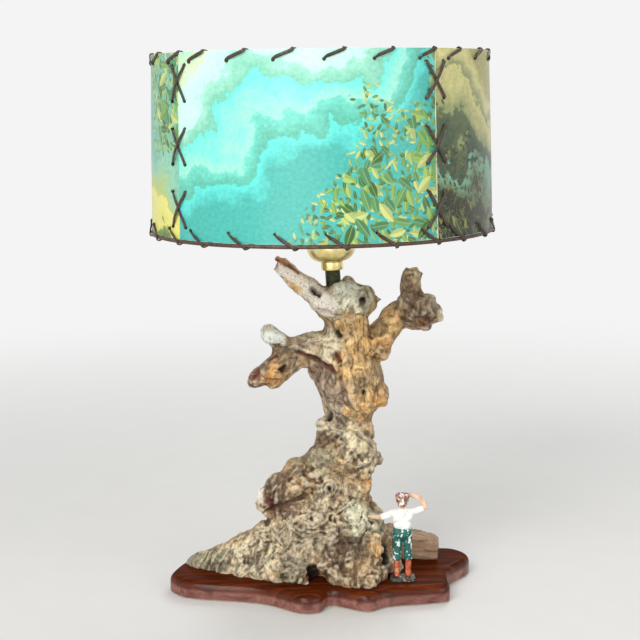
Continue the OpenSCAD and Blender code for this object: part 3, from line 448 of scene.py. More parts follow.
# Tone that is laid bare, its strength, and the strokes. The near-black tone in the knot holes is no bare wood
# but painted shade
STROKES = [("pit", 1.0, KNOT_HOLES), ("oxblood", 0.95, ROTTED_HOLLOWS), ("crack", 0.75, CRACKS),
           ("umber", 0.6, SEAMS), ("ochre", 0.95, SPLIT_STUB), ("honey", 0.85, BARKED_STUB),
           ("cream", 0.6, RIDGES), ("tan", 0.0, HOLLOWS)]
# Each blot: x, y, z, radius
BLOTS = {
    "chalk": [(-30, -10, 276, 15), (-24, 4, 272, 11), (-14, -12, 264, 12), (0, -20, 248, 11),
        (-62, -20, 84, 8), (-57, -27, 86, 5)],
    # The first of these pale blots, on top of the crown, is a painted highlight; the others are lime
    "frost": [(20, -12, 260, 10), (-46, -8, 220, 10), (-40, -12, 217, 8)],
    "sage": [(22, -18, 247, 13), (14, 12, 256, 12), (22, -38, 73, 9), (30, -36, 64, 12),
        (40, -26, 58, 10)],
    "cream": [(4, -18, 214, 9), (8, 34, 112, 12), (-24, 34, 44, 12), (-52, 22, 32, 14), (34, 34, 52, 11),
        (22, -28, 130, 14), (36, -20, 118, 11), (26, -30, 83, 8), (98, -2, 234, 5), (-52, -32, 40, 17),
        (-78, -24, 32, 15), (-60, -34, 20, 9)],
    "olive": [(-94, -16, 26, 9), (-6, 34, 76, 12), (30, 30, 142, 9), (-84, 12, 26, 12), (-5, -25, 116, 11),
        (-114, -2, 20, 18), (-28, -48, 26, 12), (35, -14, 248, 9)],
    "honey": [(24, -16, 231, 12), (26, 22, 212, 13), (14, 28, 168, 13), (34, 24, 190, 9),
        (36, -20, 208, 15), (24, -24, 196, 13), (28, -26, 157, 11), (38, -22, 164, 13), (56, -5, 222, 13),
        (38, -18, 222, 10), (44, -46, 48, 6), (32, -24, 94, 8)],
    "amber": [(-24, -4, 260, 7), (2, 20, 196, 8), (47, -12, 209, 8), (-42, -22, 187, 9),
        (47, -14, 162, 8)],
    "tan": [(30, -24, 181, 11), (75, 0, 267, 9), (-34, -12, 206, 12), (-22, -28, 100, 13),
        (28, -56, 32, 14), (10, 26, 60, 30), (20, 26, 130, 24), (20, 22, 200, 24)],
    "stone": [(4, -18, 152, 12), (0, 28, 140, 11), (16, 38, 60, 13), (-20, 26, 96, 10), (12, -22, 142, 11),
        (88, -6, 243, 9), (54, 0, 162, 6), (4, -34, 92, 11), (-10, -44, 74, 13), (-16, -8, 218, 13),
        (52, -32, 26, 9), (-6, -44, 56, 18), (-34, -36, 50, 16)],
    "mauve": [(-4, -14, 182, 13), (4, -24, 184, 9), (8, -22, 168, 10), (-22, -14, 213, 9)],
    "umber": [(78, -8, 236, 14), (32, 30, 120, 10), (-4, 36, 34, 12), (8, 22, 230, 8), (70, -4, 252, 9),
        (-12, -8, 172, 8), (6, -24, 176, 5), (-30, -16, 199, 7), (-50, -14, 196, 8), (-12, -14, 128, 12),
        (-38, -28, 86, 14), (14, -48, 46, 12), (30, -48, 46, 9), (8, -46, 28, 10)],
    # The last of these reddish-brown blots, low by the root, is a painted shadow; the others are the wood's
    # own colour
    "rust": [(-58, -12, 184, 8), (22, 34, 88, 9), (2, 24, 154, 6), (84, -12, 228, 8), (-47, -27, 76, 7),
        (-12, -46, 22, 8)]}
BARE_WOOD = "tan"
print(sum(len(rows) for _, _, rows in STROKES), "strokes,", sum(map(len, BLOTS.values())), "blots")

# %% [markdown]
# Carving moves each point along its normal. Burl wood grows in eyes and curls, like the contour lines
# of a hilly map, so low down the ridges are just that: a sine of a drifting noise, with pits and lumps
# between. Higher up only long shallow flutes are left. The finish should follow the carving, so
# each point stores the colour of its region, its chalkiness, and how far it lies above or below the
# same surface smoothed: its height among its neighbours.

# %% Burl: carving
CARVING_SEED = 2
# A stroke counts depth for less, so that it reaches the surface wherever that lies
SHALLOW = (1, 0.35, 1)
# Weight of the bare wood among the blots; how far the foot sinks, and what it keeps from the plaque
BARE_SHARE, FOOT_SINK, FOOT_GAP = 0.04, 1.4, 0.03
# Below the one height the grain is curly, above the other smooth, but for the right arm's knob
CURLY_TO, SMOOTH_FROM = 136, 166
KNOB_AT, KNOB_R = (80, -4, 238), 17
RINGED_KNOT, KNOT_R = (2.7, -32, 92.9), 8
# The broken ends of the white stub and of both arms are splintered: x, y, z, reach, height
SPLINTERS = [(-38, -7, 280, 8, 2.4), (75, 0, 271, 6, 1.8), (-60, -12, 182, 7, 1.2)]


def points_of(piece, what="co"):
    """The points or normals of a mesh as rows."""
    flat = np.empty(len(piece.data.vertices) * 3, dtype=np.float32)
    piece.data.vertices.foreach_get(what, flat)
    return flat.reshape(-1, 3).astype(float)


def place_points(piece, spots):
    """Put the points of a mesh at these places in millimetres."""
    piece.data.vertices.foreach_set("co", (spots * MM).astype(np.float32).ravel())
    piece.data.update()


def ease(low, high, value):
    """A smooth step from 0 at low to 1 at high."""
    t = np.clip((value - low) / (high - low), 0, 1)
    return t * t * (3 - 2 * t)


def curly(p):
    """Height of the burl's figure: lumps, curled ridges, pits and grit, in millimetres."""
    q = p + 7 * noise.noise_vector(p / 16)
    eyes = 3.4 * noise.noise(q / 21) + 0.7 * noise.noise(q / 7)
    ridge = math.sin(math.tau * eyes)
    pit = max(0.0, 0.36 - noise.voronoi(q / 9.5)[0][0]) / 0.36
    lumps = (2.3 * noise.noise(p / 17) + 1.4 * noise.noise(q / 9.5) + 1.0 * noise.noise(q / 5)
             + 0.6 * noise.noise(p / 2.6))
    return lumps + 0.34 * ridge - 2.3 * pit * pit


def fluted(p, stretch):
    """Height of the smooth limbs' grain: long flutes and cracks along one direction, in millimetres."""
    q = Vector(a * b for a, b in zip(p, stretch)) + 5 * noise.noise_vector(p / 26)
    crack = max(0.0, 1 - abs(noise.noise(q / 8)) / 0.08)
    return 0.9 * noise.noise(q / 5) + 1.8 * noise.noise(p / 12) + 0.5 * noise.noise(p / 3.4) - 1.2 * crack


def scaly(p):
    """Overlapping shells along the long left root, in millimetres."""
    turn = (p.x * 0.85 - p.z * 0.5 + 7 * noise.noise(p / 15)) / 9.5
    return 1.5 * (turn % 1) ** 2 - 0.6


# The vector noise starts at a random place unless it is given a seed
noise.seed_set(CARVING_SEED)
spots = points_of(burl) / MM
ways = points_of(burl, "normal")
points = [Vector(p) for p in spots]


def each(height):
    """What a function of the place gives at every point."""
    return np.array([height(p) for p in points])


def far(at):
    """How far every point lies from a place."""
    return np.linalg.norm(spots - at, axis=1)


figure_height = each(curly)
upright = each(lambda p: fluted(p, (1, 1, 0.22)))
sideways = each(lambda p: fluted(p, (0.22, 1, 1)))
shell_height = each(scaly)
patchy = each(lambda p: noise.noise(p / 26))
drift = each(lambda p: noise.noise_vector(p / 11))
ragged = each(lambda p: noise.noise_vector(p / 3.6))

x, z = spots[:, 0], spots[:, 2]
burly = 0.1 + 0.9 * ease(SMOOTH_FROM, CURLY_TO, z + 12 * patchy)
burly = np.maximum(burly, 0.75 * np.exp(-(far(KNOB_AT) / KNOB_R) ** 2))
arm = np.maximum(ease(-8, -22, x), ease(44, 54, x)) * ease(240, 228, z)
flute_height = upright + arm * (sideways - upright)
toe = ease(-42, -66, x) * ease(66, 44, z)
varied = np.clip(1.1 + 1.7 * patchy, 0.3, 1.8) * (1 - 0.4 * toe)
rise = burly * varied * figure_height + (1 - burly) * flute_height + toe * shell_height
ringed = far(RINGED_KNOT)
rise += 1.1 * np.cos(ringed * 1.9) * np.exp(-(ringed / KNOT_R) ** 2)
for *end, reach, high in SPLINTERS:
    rise += high * ragged[:, 0] * np.exp(-(far(end) / reach) ** 2)

tone_of = {tone: np.array(paint(colour)[:3]) for tone, colour in TONES.items()}
tint = np.zeros((len(spots), 3))
chalk, weight, cut, scar = (np.zeros(len(spots)) for _ in range(4))
loose = spots + 8 * drift + 3 * ragged
for tone, blots in BLOTS.items():
    for *at, radius in blots:
        near = np.exp(-1.7 * (np.linalg.norm(loose - at, axis=1) / radius) ** 3)
        tint += near[:, None] * tone_of[tone]
        chalk += near * CRUSTED.get(tone, 0)
        weight += near
tint = (tint + BARE_SHARE * tone_of[BARE_WOOD]) / (weight + BARE_SHARE)[:, None]
chalk = chalk / (weight + BARE_SHARE)

# Near the plaque the wood only swells sideways, and its foot sits flat
foot = ease(PLAQUE_TOP + 1, PLAQUE_TOP + 9, z)
ways[:, 2] *= foot
carved = spots + ways * rise[:, None]
place_points(burl, carved)
even = piece_from("even_copy", burl.data.copy())
shape(even, "SMOOTH", factor=0.5, iterations=24)
proud = ((carved - points_of(even) / MM) * points_of(even, "normal")).sum(axis=1)
bpy.data.objects.remove(even)

for tone, strength, strokes in STROKES:
    for *ends, radius, depth in strokes:
        a, b = np.array(ends, float).reshape(2, 3)
        run = b - a
        t = np.clip((spots - a) @ run / (run @ run), 0, 1)
        off = (spots + min(2.0, 0.6 * radius) * ragged - (a + t[:, None] * run)) * SHALLOW
        gap = np.linalg.norm(off, axis=1)
        cut += depth * ease(radius * 1.6, radius * 0.2, gap)
        # For the knot holes this lays their near-black tone, which is painted shade
        bared_and_shaded = strength * ease(radius * 1.6, radius * 0.5, gap)
        tint = tint * (1 - bared_and_shaded[:, None]) + bared_and_shaded[:, None] * tone_of[tone]
        scar = np.maximum(scar, bared_and_shaded)
        chalk *= 1 - bared_and_shaded
carved -= ways * cut[:, None]
carved[:, 2] -= FOOT_SINK * (1 - foot)
carved[:, 2] = np.maximum(carved[:, 2], PLAQUE_TOP + FOOT_GAP)
place_points(burl, carved)

tint = np.column_stack((tint, np.ones(len(tint))))
layer = burl.data.attributes.new("weather_and_painted_light_tint", "FLOAT_COLOR", "POINT")
layer.data.foreach_set("color", tint.astype(np.float32).ravel())
figured = np.clip(0.5 + 0.42 * proud, 0, 1)
layers = {"carved_height": figured, "chalkiness": chalk, "bare_scar": scar, "curliness": burly}
for name, values in layers.items():
    layer = burl.data.attributes.new(name, "FLOAT", "POINT")
    layer.data.foreach_set("value", values.astype(np.float32))
print("carved from", round(rise.min(), 1), "to", round(rise.max(), 1), "mm, among neighbours",
      np.percentile(proud, (5, 50, 95)).round(2))

# %% [markdown]
# Driftwood is bare wood: bleached and silvery where water and sun have worn it, honey brown where it
# was rubbed. The stored colours are the ground. Fibres of a millimetre or two break it up, pits get
# painted shade, crests are paled partly as bleached wood and partly as a painted highlight, and chalky
# places get a crust of white with specks.

# %% Burl: finish
driftwood, node, shader, place = start_material("weathered_driftwood", Specular_IOR_Level=0.35)
ground = node("Attribute", attribute_name="weather_and_painted_light_tint")
height, crust, bared, curliness = (
    node("Attribute", attribute_name=name, out="Fac")
    for name in ("carved_height", "chalkiness", "bare_scar", "curliness"))
cloud = node("TexNoise", place, Scale=per(10), Detail=6, Roughness=0.56, Distortion=1.4)
# The mottle changes how light the wood is and keeps its hue; it is stronger where the grain is curly
swing = node("MapRange", curliness, 0, 1, 3.8, 4.4)
mottle = node("Math", node("Math", cloud, 0.49, operation="SUBTRACT"), swing, 0.92, operation="MULTIPLY_ADD")
mottle = node("Math", mottle, 0.32, operation="MAXIMUM")
mottled = node("HueSaturation", Color=ground, Value=mottle)
# Growth rings cut at all angles: the contour lines of a noise, where the grain is curly
growth = node("TexNoise", place, Scale=per(13), Detail=2, Distortion=1.4)
rings = node("Math", node("Math", growth, 44, operation="MULTIPLY"), operation="SINE")
marbled = node("ValToRGB", node("MapRange", rings, -1, 1),
               ramp=[(0.0, "#4b4238"), (0.3, "#837a6e"), (0.65, "#a39b8e"), (1.0, "#d6d0c4")])
curl = node("MapRange", curliness, 0.15, 1, 0, 0.4)
wood = node("Mix", curl, mottled, marbled, blend_type="OVERLAY")
stretch = node("Mapping", place, Rotation=(0.15, -0.2, 0), Scale=(per(1.5), per(1.5), per(14)))
fibre = node("TexNoise", stretch, Scale=1, Detail=4, Distortion=0.5)
streak = node("ValToRGB", fibre, ramp=[(0.34, "#7d6c56"), (0.52, "#ffffff")])
wood = node("Mix", 0.42, wood, streak, blend_type="MULTIPLY")
stains = node("TexNoise", place, Scale=per(11), Detail=7, Roughness=0.7, Distortion=0.6)
wood = node("Mix", node("MapRange", stains, 0.53, 0.67, 0, 0.7), wood, paint("#674a34"))
# Painted shade darkens the pits, the lower they lie among their neighbours; crests are paled, partly as
# bleached wood and partly as a painted highlight
wood = node("Mix", node("MapRange", height, 0.47, 0.14, 0, 0.86), wood, paint("#38261a"))
wood = node("Mix", node("MapRange", height, 0.54, 0.84, 0, 0.5), wood, paint("#ece0c6"))
specks = node("TexNoise", place, Scale=per(2.3), Detail=4, Roughness=0.75, Distortion=0.8)
speck = node("ValToRGB", specks,
             ramp=[(0.34, "#4e3d30"), (0.41, "#b5a896"), (0.48, "#efe9df"), (0.57, "#ffffff")])
wood = node("Mix", 0.15, wood, speck, blend_type="MULTIPLY")
# The crust of lime has a ragged edge and specks of dirt
limed = node("Mix", 0.7, ground, speck, blend_type="MULTIPLY")
edge = node("MapRange", node("Math", crust, cloud, operation="ADD"), 0.86, 1.1)
wood = node("Mix", edge, wood, limed)
# Drying opens a net of fine checks in some places: the borders of small cells, bent by noise
BENT = 6 * MM
bent = node("VectorMath", cloud.node.outputs["Color"], (BENT, BENT, BENT), place, operation="MULTIPLY_ADD")
along = node("Mapping", bent, Scale=(per(8), per(8), per(17)))
cells = node("TexVoronoi", along, Scale=1, feature="DISTANCE_TO_EDGE")
check = node("Math", node("MapRange", cells, 0.01, 0.05, 0.6, 0), node("MapRange", growth, 0.52, 0.62),
             operation="MULTIPLY")
check = node("Math", check, node("MapRange", crust, 0, 1, 1, 0.3), operation="MULTIPLY")
wood = node("Mix", check, wood, paint(TONES["crack"]))
grit = node("Math", node("Math", fibre, specks, operation="ADD"), cloud, operation="ADD")
wire(shader, Base_Color=node("Mix", bared, wood, mottled),
     Roughness=node("MapRange", height, 0, 1, 0.85, 0.5),
     Normal=node("Bump", Height=grit, Strength=0.8, Distance=0.7 * MM))
finish_piece(burl, "burl_wood", "stand", "burl", driftwood, 180)

# %% [markdown]
# Beside the root lies an offcut: a squared lump of reddish wood with sawn faces and knocked corners.
# It is modelled lying down as a board of its side profile, stood up, remeshed and roughened by the
# saw's fine ridges.

# %% Wooden block
BLOCK_SIDE = [(0, 0), (48, 0), (49, 12.5), (43.2, 16.5), (4.8, 26), (0, 23.5)]
BLOCK_D, BLOCK_AT, BLOCK_TURN = 26, (48, 9), -6
BLOCK_ROUNDING, BLOCK_VOXEL = 1.5, 1.0


def roughen(piece, height):
    """Move each point along its normal by a height in millimetres that its place gives."""
    spots, ways = points_of(piece) / MM, points_of(piece, "normal")
    rise = np.array([height(Vector(p)) for p in spots])
    place_points(piece, spots + ways * rise[:, None])


def sawn(p):
    """Saw ridges across the block, knocked and worn."""
    return (0.16 * math.sin(p.x * 2.6 + 2 * noise.noise(p / 9)) + 0.9 * noise.noise(p / 8)
            + 0.25 * noise.noise(p / 2.5))


# Hardwood from the saw: reddish and matt, with open grain
sawn_wood, node, shader, place = start_material("sawn_red_hardwood", Roughness=0.7, Specular_IOR_Level=0.3)
stretch = node("Mapping", place, Rotation=(0, 0.2, 0.1), Scale=(per(26), per(2.4), per(2.4)))
grain = node("TexNoise", stretch, Scale=1, Detail=5, Distortion=0.7)
wood = node("ValToRGB", grain,
            ramp=[(0.26, "#6b4d38"), (0.45, "#9d7e62"), (0.6, "#ae9076"), (0.78, "#c6ac92")])
wire(shader, Base_Color=wood, Normal=node("Bump", Height=grain, Strength=0.5, Distance=0.5 * MM))

block = board(BLOCK_SIDE, 0, BLOCK_D, BLOCK_ROUNDING, 3)
shape(block, "REMESH", mode="VOXEL", voxel_size=BLOCK_VOXEL * MM)
shape(block, "SMOOTH", factor=0.5, iterations=4)
stood = Matrix.Rotation(math.radians(BLOCK_TURN), 4, "Z") @ Matrix.Rotation(math.pi / 2, 4, "X")
block.matrix_world = Matrix.Translation(Vector((*BLOCK_AT, PLAQUE_TOP)) * MM) @ stood
settle(block)
roughen(block, sawn)
for vertex in block.data.vertices:
    vertex.co.z = max(vertex.co.z, (PLAQUE_TOP + FOOT_GAP) * MM)
finish_piece(block, "block_offcut", "stand", "wood_block", sawn_wood, 60)

# %% [markdown]
# The small figure is a painted lead casting that stands with its back to us, one hand at its brow. A
# caster would build the wax from rolls and balls melted together, and so do we: balls are strung
# along each limb, then a voxel remesh melts them into one skin. Each garment is a piece of its own,
# because each was painted by itself.

# %% Figure: wax
FIGURE_H, FIGURE_AT = 74, (63, -40)
# Sizes of the remeshed skin; steps between balls, as a share of their radius; a speck to start from
WAX_VOXEL, FINE_VOXEL, BALL_STEP, SPECK = 0.34, 0.2, 0.55, 0.01


def wax(rows, voxel):
    """Balls along rows of (x, y, z, radius), in percent of the figure's height, melted into one skin."""
    def at(x, y, z):
        return (Vector((*FIGURE_AT, PLAQUE_TOP)) + Vector((x, y, z)) * FIGURE_H / 100) * MM

    take()
    bpy.ops.mesh.primitive_ico_sphere_add(subdivisions=1, radius=SPECK * MM, location=at(*rows[0][0][:3]))
    piece = bpy.context.object
    bpy.ops.object.transform_apply(location=True)
    with editing():
        for row in rows:
            for near, far_end in zip(row, row[1:] or row):
                a, b = Vector(near), Vector(far_end)
                count = max(1, math.ceil((b - a).length / (BALL_STEP * min(near[3], far_end[3]))))
                for k in range(count + 1):
                    *spot, r = a.lerp(b, k / count)
                    bpy.ops.mesh.primitive_uv_sphere_add(segments=14, ring_count=8, location=at(*spot),
                                                         radius=r * FIGURE_H / 100 * MM)
    shape(piece, "REMESH", mode="VOXEL", voxel_size=voxel * MM)
    shape(piece, "SMOOTH", factor=0.5, iterations=5)
    return piece


def both_sides(row):
    """A row and its mirror image."""
    return [row, [(-x, y, z, r) for x, y, z, r in row]]


SHIRT = [
    [(0, 0, 62.5, 6.4), (0, 0.2, 66, 6.8), (0, 0.5, 73, 7.2), (0, 0, 77, 6.2)],
    [(-6, 0, 72, 6), (6, 0, 72, 6)], [(-9, 0, 77.6, 4.3), (9, 0, 77.6, 4.3)],
    [(-4, 0, 63.4, 6.3), (4, 0, 63.4, 6.3)], [(-2.4, 0.4, 81, 2.9), (2.4, 0.4, 81, 2.9)],
    [(9.5, 0, 77.8, 4.3), (17, 1, 80, 4), (21.5, 1.5, 81.4, 3.7)],
    [(-9.5, 0, 77.4, 4.3), (-17, -2, 75.4, 4), (-22, -2.8, 74, 3.6)]]
TROUSERS = (
    [[(-4.4, 0, 57.5, 6.2), (4.4, 0, 57.5, 6.2)], [(-3.4, -1.6, 53, 6), (3.4, -1.6, 53, 6)]]
    + both_sides([(5.2, 0, 54, 6.2), (5.8, 0.8, 40, 5.2), (6.2, 0.2, 30, 4.8), (6.4, 0, 25.5, 4.9)]))
BOOTS = (both_sides([(6.4, -0.4, 26, 3.7), (6.4, -0.3, 12, 3.2), (6.4, -0.5, 6.4, 3.4)])
         + both_sides([(6.4, -1.6, 5.8, 2.9), (6.9, 3, 5.6, 2.9), (7.2, 6.6, 5.3, 2.5)]))
BARE_SKIN = [
    [(0, 0, 79, 3.5), (0, 0.5, 86, 3.3)], [(0, 0.2, 90, 5.8), (0, 0, 93.4, 6.1)],
    [(0, 3, 87.4, 3.7), (0, 3.6, 86.2, 2.8)], [(0, 6.1, 91.6, 0.8), (0, 6.7, 90, 1.0)],
    [(-2.6, 4.9, 92.6, 1.5), (2.6, 4.9, 92.6, 1.5)], [(-1.3, 5.6, 87.6, 0.9), (1.3, 5.6, 87.6, 0.9)],
    [(21.5, 1.5, 81.4, 3.0), (25.6, 2, 82.6, 3.2), (23.4, 4, 89, 3.1), (17, 6, 94.2, 2.9),
     (10.5, 7.2, 95.6, 2.5)],
    [(10.5, 7.2, 95.6, 2.5), (6, 8.2, 96.2, 1.8), (3.6, 8.5, 96.3, 1.3)],
    [(-22, -2.8, 74, 2.8), (-29, -4.2, 74, 2.5), (-33.5, -5, 74.6, 2.1)],
    [(-33.5, -5, 74.6, 2.1), (-36, -5.2, 75.2, 1.7), (-38, -5.2, 75.8, 1.1)],
    [(-34, -4, 75.6, 1), (-34.6, -2.6, 77.4, 0.9)]] + both_sides([(6, 0.4, 90.4, 1.2), (6.1, 0.2, 91.6, 1.3)])
HAIR = [[(0, -1.2, 94.4, 6.9), (0, -2.2, 90.6, 5.8)], [(-3.4, -0.8, 96.4, 4.6), (3.4, -0.8, 96.4, 4.6)],
        [(-3, 2.6, 97, 2.8), (3, 2.6, 97, 2.8)], [(-5, -1, 92, 2.2), (5, -1, 92, 2.2)],
        [(-2.5, -3, 87.2, 2.6), (2.5, -3, 87.2, 2.6)]]
EYES = [[(-2.4, 5.75, 91.3, 0.62)], [(2.4, 5.75, 91.3, 0.62)]]
LIPS = [[(-1.2, 6.15, 87.9, 0.5), (1.2, 6.15, 87.9, 0.5)]]

# %% [markdown]
# The enamel is brushed on by hand and has chipped down to the pale primer over many years of
# knocks. One recipe serves every garment: the coat's colour drifts a little, a coarse noise picks
# where it has chipped, and the chips sit lower than the coat.

# %% Figure: paint
def chipped_enamel(name, coat, shade, primer, worn, chip=2.6):
    """Brushed enamel in two tones, chipped to its primer over this share of its surface."""
    material, node, shader, place = start_material(name, Roughness=0.48, Specular_IOR_Level=0.4)
    brush = node("TexNoise", place, Scale=per(3.5), Detail=4)
    film = node("ValToRGB", brush, ramp=[(0.3, shade), (0.62, coat)])
    chips = node("TexNoise", place, Scale=per(chip), Detail=3, Roughness=0.6)
    lost = node("MapRange", chips, 0.7 - worn, 0.73 - worn)
    wire(shader, Base_Color=node("Mix", lost, film, paint(primer)),
         Normal=node("Bump", Height=lost, Strength=0.5, Distance=0.15 * MM, invert=True))
    return material


def creased(p):
    """Shallow folds of a cast garment."""
    return 0.28 * noise.noise(Vector((p.x / 3.4, p.y / 3.4, p.z / 2.6)))


def curled(p):
    """Locks of hair."""
    return 0.34 * noise.noise(p / 1.5) + 0.2 * noise.noise(p / 3)


def squarish(half_w, half_d, power_w, power_d, turns):
    """Points round an oblong with rounded corners, squarer for smaller powers."""
    return [(half_w * math.copysign(abs(math.cos(a)) ** power_w, math.cos(a)),
             half_d * math.copysign(abs(math.sin(a)) ** power_d, math.sin(a))) for a in turns]


GARMENTS = [
    ("figure_shirt", SHIRT, creased, ("white_enamel", "#f4f5ee", "#d9dad0", "#b9b4a2", 0.04)),
    ("figure_trousers", TROUSERS, creased, ("green_enamel", "#1c6a60", "#114842", "#e2e8e2", 0.15, 3.4)),
    ("figure_boots", BOOTS, creased, ("red_enamel", "#cc5a3e", "#a04a32", "#cf9262", 0.15)),
    ("figure_skin", BARE_SKIN, None, ("flesh_enamel", "#e4c0a4", "#c99a80", "#f0dfcf", 0.09)),
    ("figure_hair", HAIR, curled, ("russet_enamel", "#95604e", "#5a3226", "#eee6dc", 0.18)),
    ("figure_eyes", EYES, None, ("dark_enamel", "#2b211b", "#1c1512", "#5b5048", 0.0)),
    ("figure_lips", LIPS, None, ("rose_enamel", "#b5705f", "#9a5a4c", "#d8b9a8", 0.0))]
for name, rows, folds, enamel in GARMENTS:
    garment = wax(rows, FINE_VOXEL if rows in (EYES, LIPS) else WAX_VOXEL)
    if folds:
        roughen(garment, folds)
    finish_piece(garment, name, "stand", "figure", chipped_enamel(*enamel), 180)

PLATE_HALF_W, PLATE_HALF_D, PLATE_T, PLATE_ROUNDING = 10.4, 7.4, 2.5, 0.7
corners = squarish(PLATE_HALF_W, PLATE_HALF_D, 0.35, 0.35, np.arange(48) * math.tau / 48)
plate = board(np.array(corners) + FIGURE_AT, PLAQUE_TOP + PLATE_T, PLATE_T - FOOT_GAP, PLATE_ROUNDING, 3)
finish_piece(plate, "figure_plate", "stand", "figure",
             chipped_enamel("black_enamel", "#45463d", "#2a2b26", "#bdbcb0", 0.1))

# %% [markdown]
# The lamp hardware is turned and pressed metal on a pipe that leans three degrees. Each piece is a
# half profile spun round that leaning axis. The cap is a bowl of sheet brass with a rolled rim, the
# collar a twelve-sided nut, the coupling a short length of blackened steel.

# %% Turning on the lamp pipe
SEAT = Vector((8.635, 0, 261))
LEAN = math.radians(3)
PIPE_AXIS = Vector((-math.sin(LEAN), 0, math.cos(LEAN)))
PIPE_SIDE = Vector((math.cos(LEAN), 0, math.sin(LEAN)))


def turned(profile, steps=72):
    """Spin a closed profile of (radius, height over the seat) round the pipe's axis."""
    points = [SEAT + PIPE_SIDE * r + PIPE_AXIS * s for r, s in profile]
    piece = new_mesh("turned", points, [], [(i, (i + 1) % len(points)) for i in range(len(points))])
    with editing():
        bpy.ops.mesh.spin(steps=steps, angle=math.tau, center=SEAT * MM, axis=PIPE_AXIS)
        bpy.ops.mesh.select_all(action="SELECT")
        bpy.ops.mesh.remove_doubles(threshold=0.01 * MM)
        bpy.ops.mesh.delete_loose()
        bpy.ops.mesh.select_all(action="SELECT")
        bpy.ops.mesh.normals_make_consistent(inside=False)
    return piece


def fine_finish(name, dark, light, grain, roughness, metallic=0, relief=0.05, **sockets):
    """A finish of two close tones: a mottle of this grain in millimetres, with its gloss and relief."""
    material, node, shader, place = start_material(name, Metallic=metallic, **sockets)
    mottle = node("TexNoise", place, Scale=per(grain), Detail=5, Roughness=0.6)
    wire(shader, Base_Color=node("ValToRGB", mottle, ramp=[(0.32, dark), (0.62, light)]),
         Roughness=node("MapRange", mottle, 0.3, 0.7, roughness * 1.3, roughness * 0.8),
         Normal=node("Bump", Height=mottle, Strength=0.3, Distance=relief * MM))
    return material


# Spun sheet brass, lacquered long ago: pale yellow with duller clouds
brass = fine_finish("lacquered_sheet_brass", "#d2bd70", "#f4e7ab", 9, 0.32, 1.0)
# Blackened steel: brown-black oxide with an oily sheen
black_steel = fine_finish("blackened_steel", "#2b2c20", "#4c4d38", 2.5, 0.42, 0.8, 0.1)

PIPE_R, CAP_S, CAP_R, CAP_H, FOOT_R, BRASS_T = 4.82, 18, 20.25, 16, 9.25, 0.7
BOWL_H = 0.75 * CAP_H
bowl = [(FOOT_R + (CAP_R - FOOT_R) * math.sin(a), BOWL_H * (1 - math.cos(a)))
        for a in np.linspace(0, math.pi / 2, 14)]
rim = [(CAP_R, CAP_H - 1.6), (CAP_R + 0.45, CAP_H - 1.2), (CAP_R + 0.55, CAP_H - 0.7),
       (CAP_R + 0.3, CAP_H - 0.15), (CAP_R - 0.2, CAP_H), (CAP_R - BRASS_T, CAP_H - 0.2)]
lining = [(r - BRASS_T, s + BRASS_T) for r, s in reversed(bowl)]
cap_line = [(PIPE_R, 0)] + bowl + rim + lining + [(PIPE_R, BRASS_T)]
cap = turned([(r, s + CAP_S) for r, s in cap_line])
finish_piece(cap, "brass_cap", "stand", "socket_cap", brass, 40)

COLLAR_S, COLLAR_H, COLLAR_R, CHAMFER, COLLAR_GAP = 10.5, 7.5, 9.25, 0.6, 0.05
half = [(PIPE_R, COLLAR_GAP), (COLLAR_R - CHAMFER, COLLAR_GAP), (COLLAR_R, CHAMFER)]
collar_line = half + [(r, COLLAR_H - s) for r, s in reversed(half)]
collar = turned([(r, s + COLLAR_S) for r, s in collar_line], 12)
shape(collar, "BEVEL", width=0.35 * MM, segments=2, limit_method="ANGLE", angle_limit=math.radians(20))
finish_piece(collar, "brass_collar", "stand", "neck_collar", brass, 20)

COUPLING_R, COUPLING_LOW, COUPLING_HIGH, LIP = 6.4, -3.4, 10.45, 0.5
RIB_DEPTH, RIB_TURN, RIBS_LOW, RIBS_HIGH = 0.25, 4.6, -3, 10.1
ribs = [(COUPLING_R - RIB_DEPTH * (0.5 + 0.5 * math.cos(s * RIB_TURN)), s)
        for s in np.linspace(RIBS_LOW, RIBS_HIGH, 58)]
coupling = turned([(PIPE_R, COUPLING_LOW), (COUPLING_R - LIP, COUPLING_LOW)] + ribs
                  + [(COUPLING_R - LIP, COUPLING_HIGH), (PIPE_R, COUPLING_HIGH)], 48)
finish_piece(coupling, "steel_coupling", "stand", "pipe_coupling", black_steel, 50)

# %% [markdown]
# The bulb is blown glass, frosted inside. Its outline is a neck that flares into a round globe, spun
# on the same axis with a thin wall, so that light passes it twice as in a real bulb.

# %% Bulb glass
GLASS_S, GLOBE_S, GLOBE_R, NECK_R, GLASS_T = 72.02, 127, 30, 12.6, 0.8
GLOBE_LOW = math.radians(42)


def glass_line(inset):
    """The bulb's outline from neck to crown as (radius, height)."""
    r, neck, flare = GLOBE_R - inset, NECK_R - inset, GLOBE_S - GLASS_S
    rise, join = flare - r * math.sin(GLOBE_LOW), r * math.cos(GLOBE_LOW)
    pull = math.tan(GLOBE_LOW) * rise
    low = [(neck + (join - neck) * (3 - 2 * t) * t * t + pull * (t - 1) * t * t, GLASS_S + rise * t)
           for t in np.linspace(0, 1, 17)[:-1]]
    globe = np.linspace(-GLOBE_LOW, math.pi / 2, 23)
    return low + [(r * math.cos(a), GLOBE_S + r * math.sin(a)) for a in globe]


# Frosted glass: milky, and letting a little light through
frosted = fine_finish("frosted_bulb_glass", "#e9ebe8", "#f6f7f5", 1.5, 0.5, 0, 0.03,
                      Transmission_Weight=0.3, IOR=1.5)
glass = turned(glass_line(0) + glass_line(GLASS_T)[::-1], 64)
finish_piece(glass, "bulb_globe", "bulb", "bulb_glass", frosted, 60)

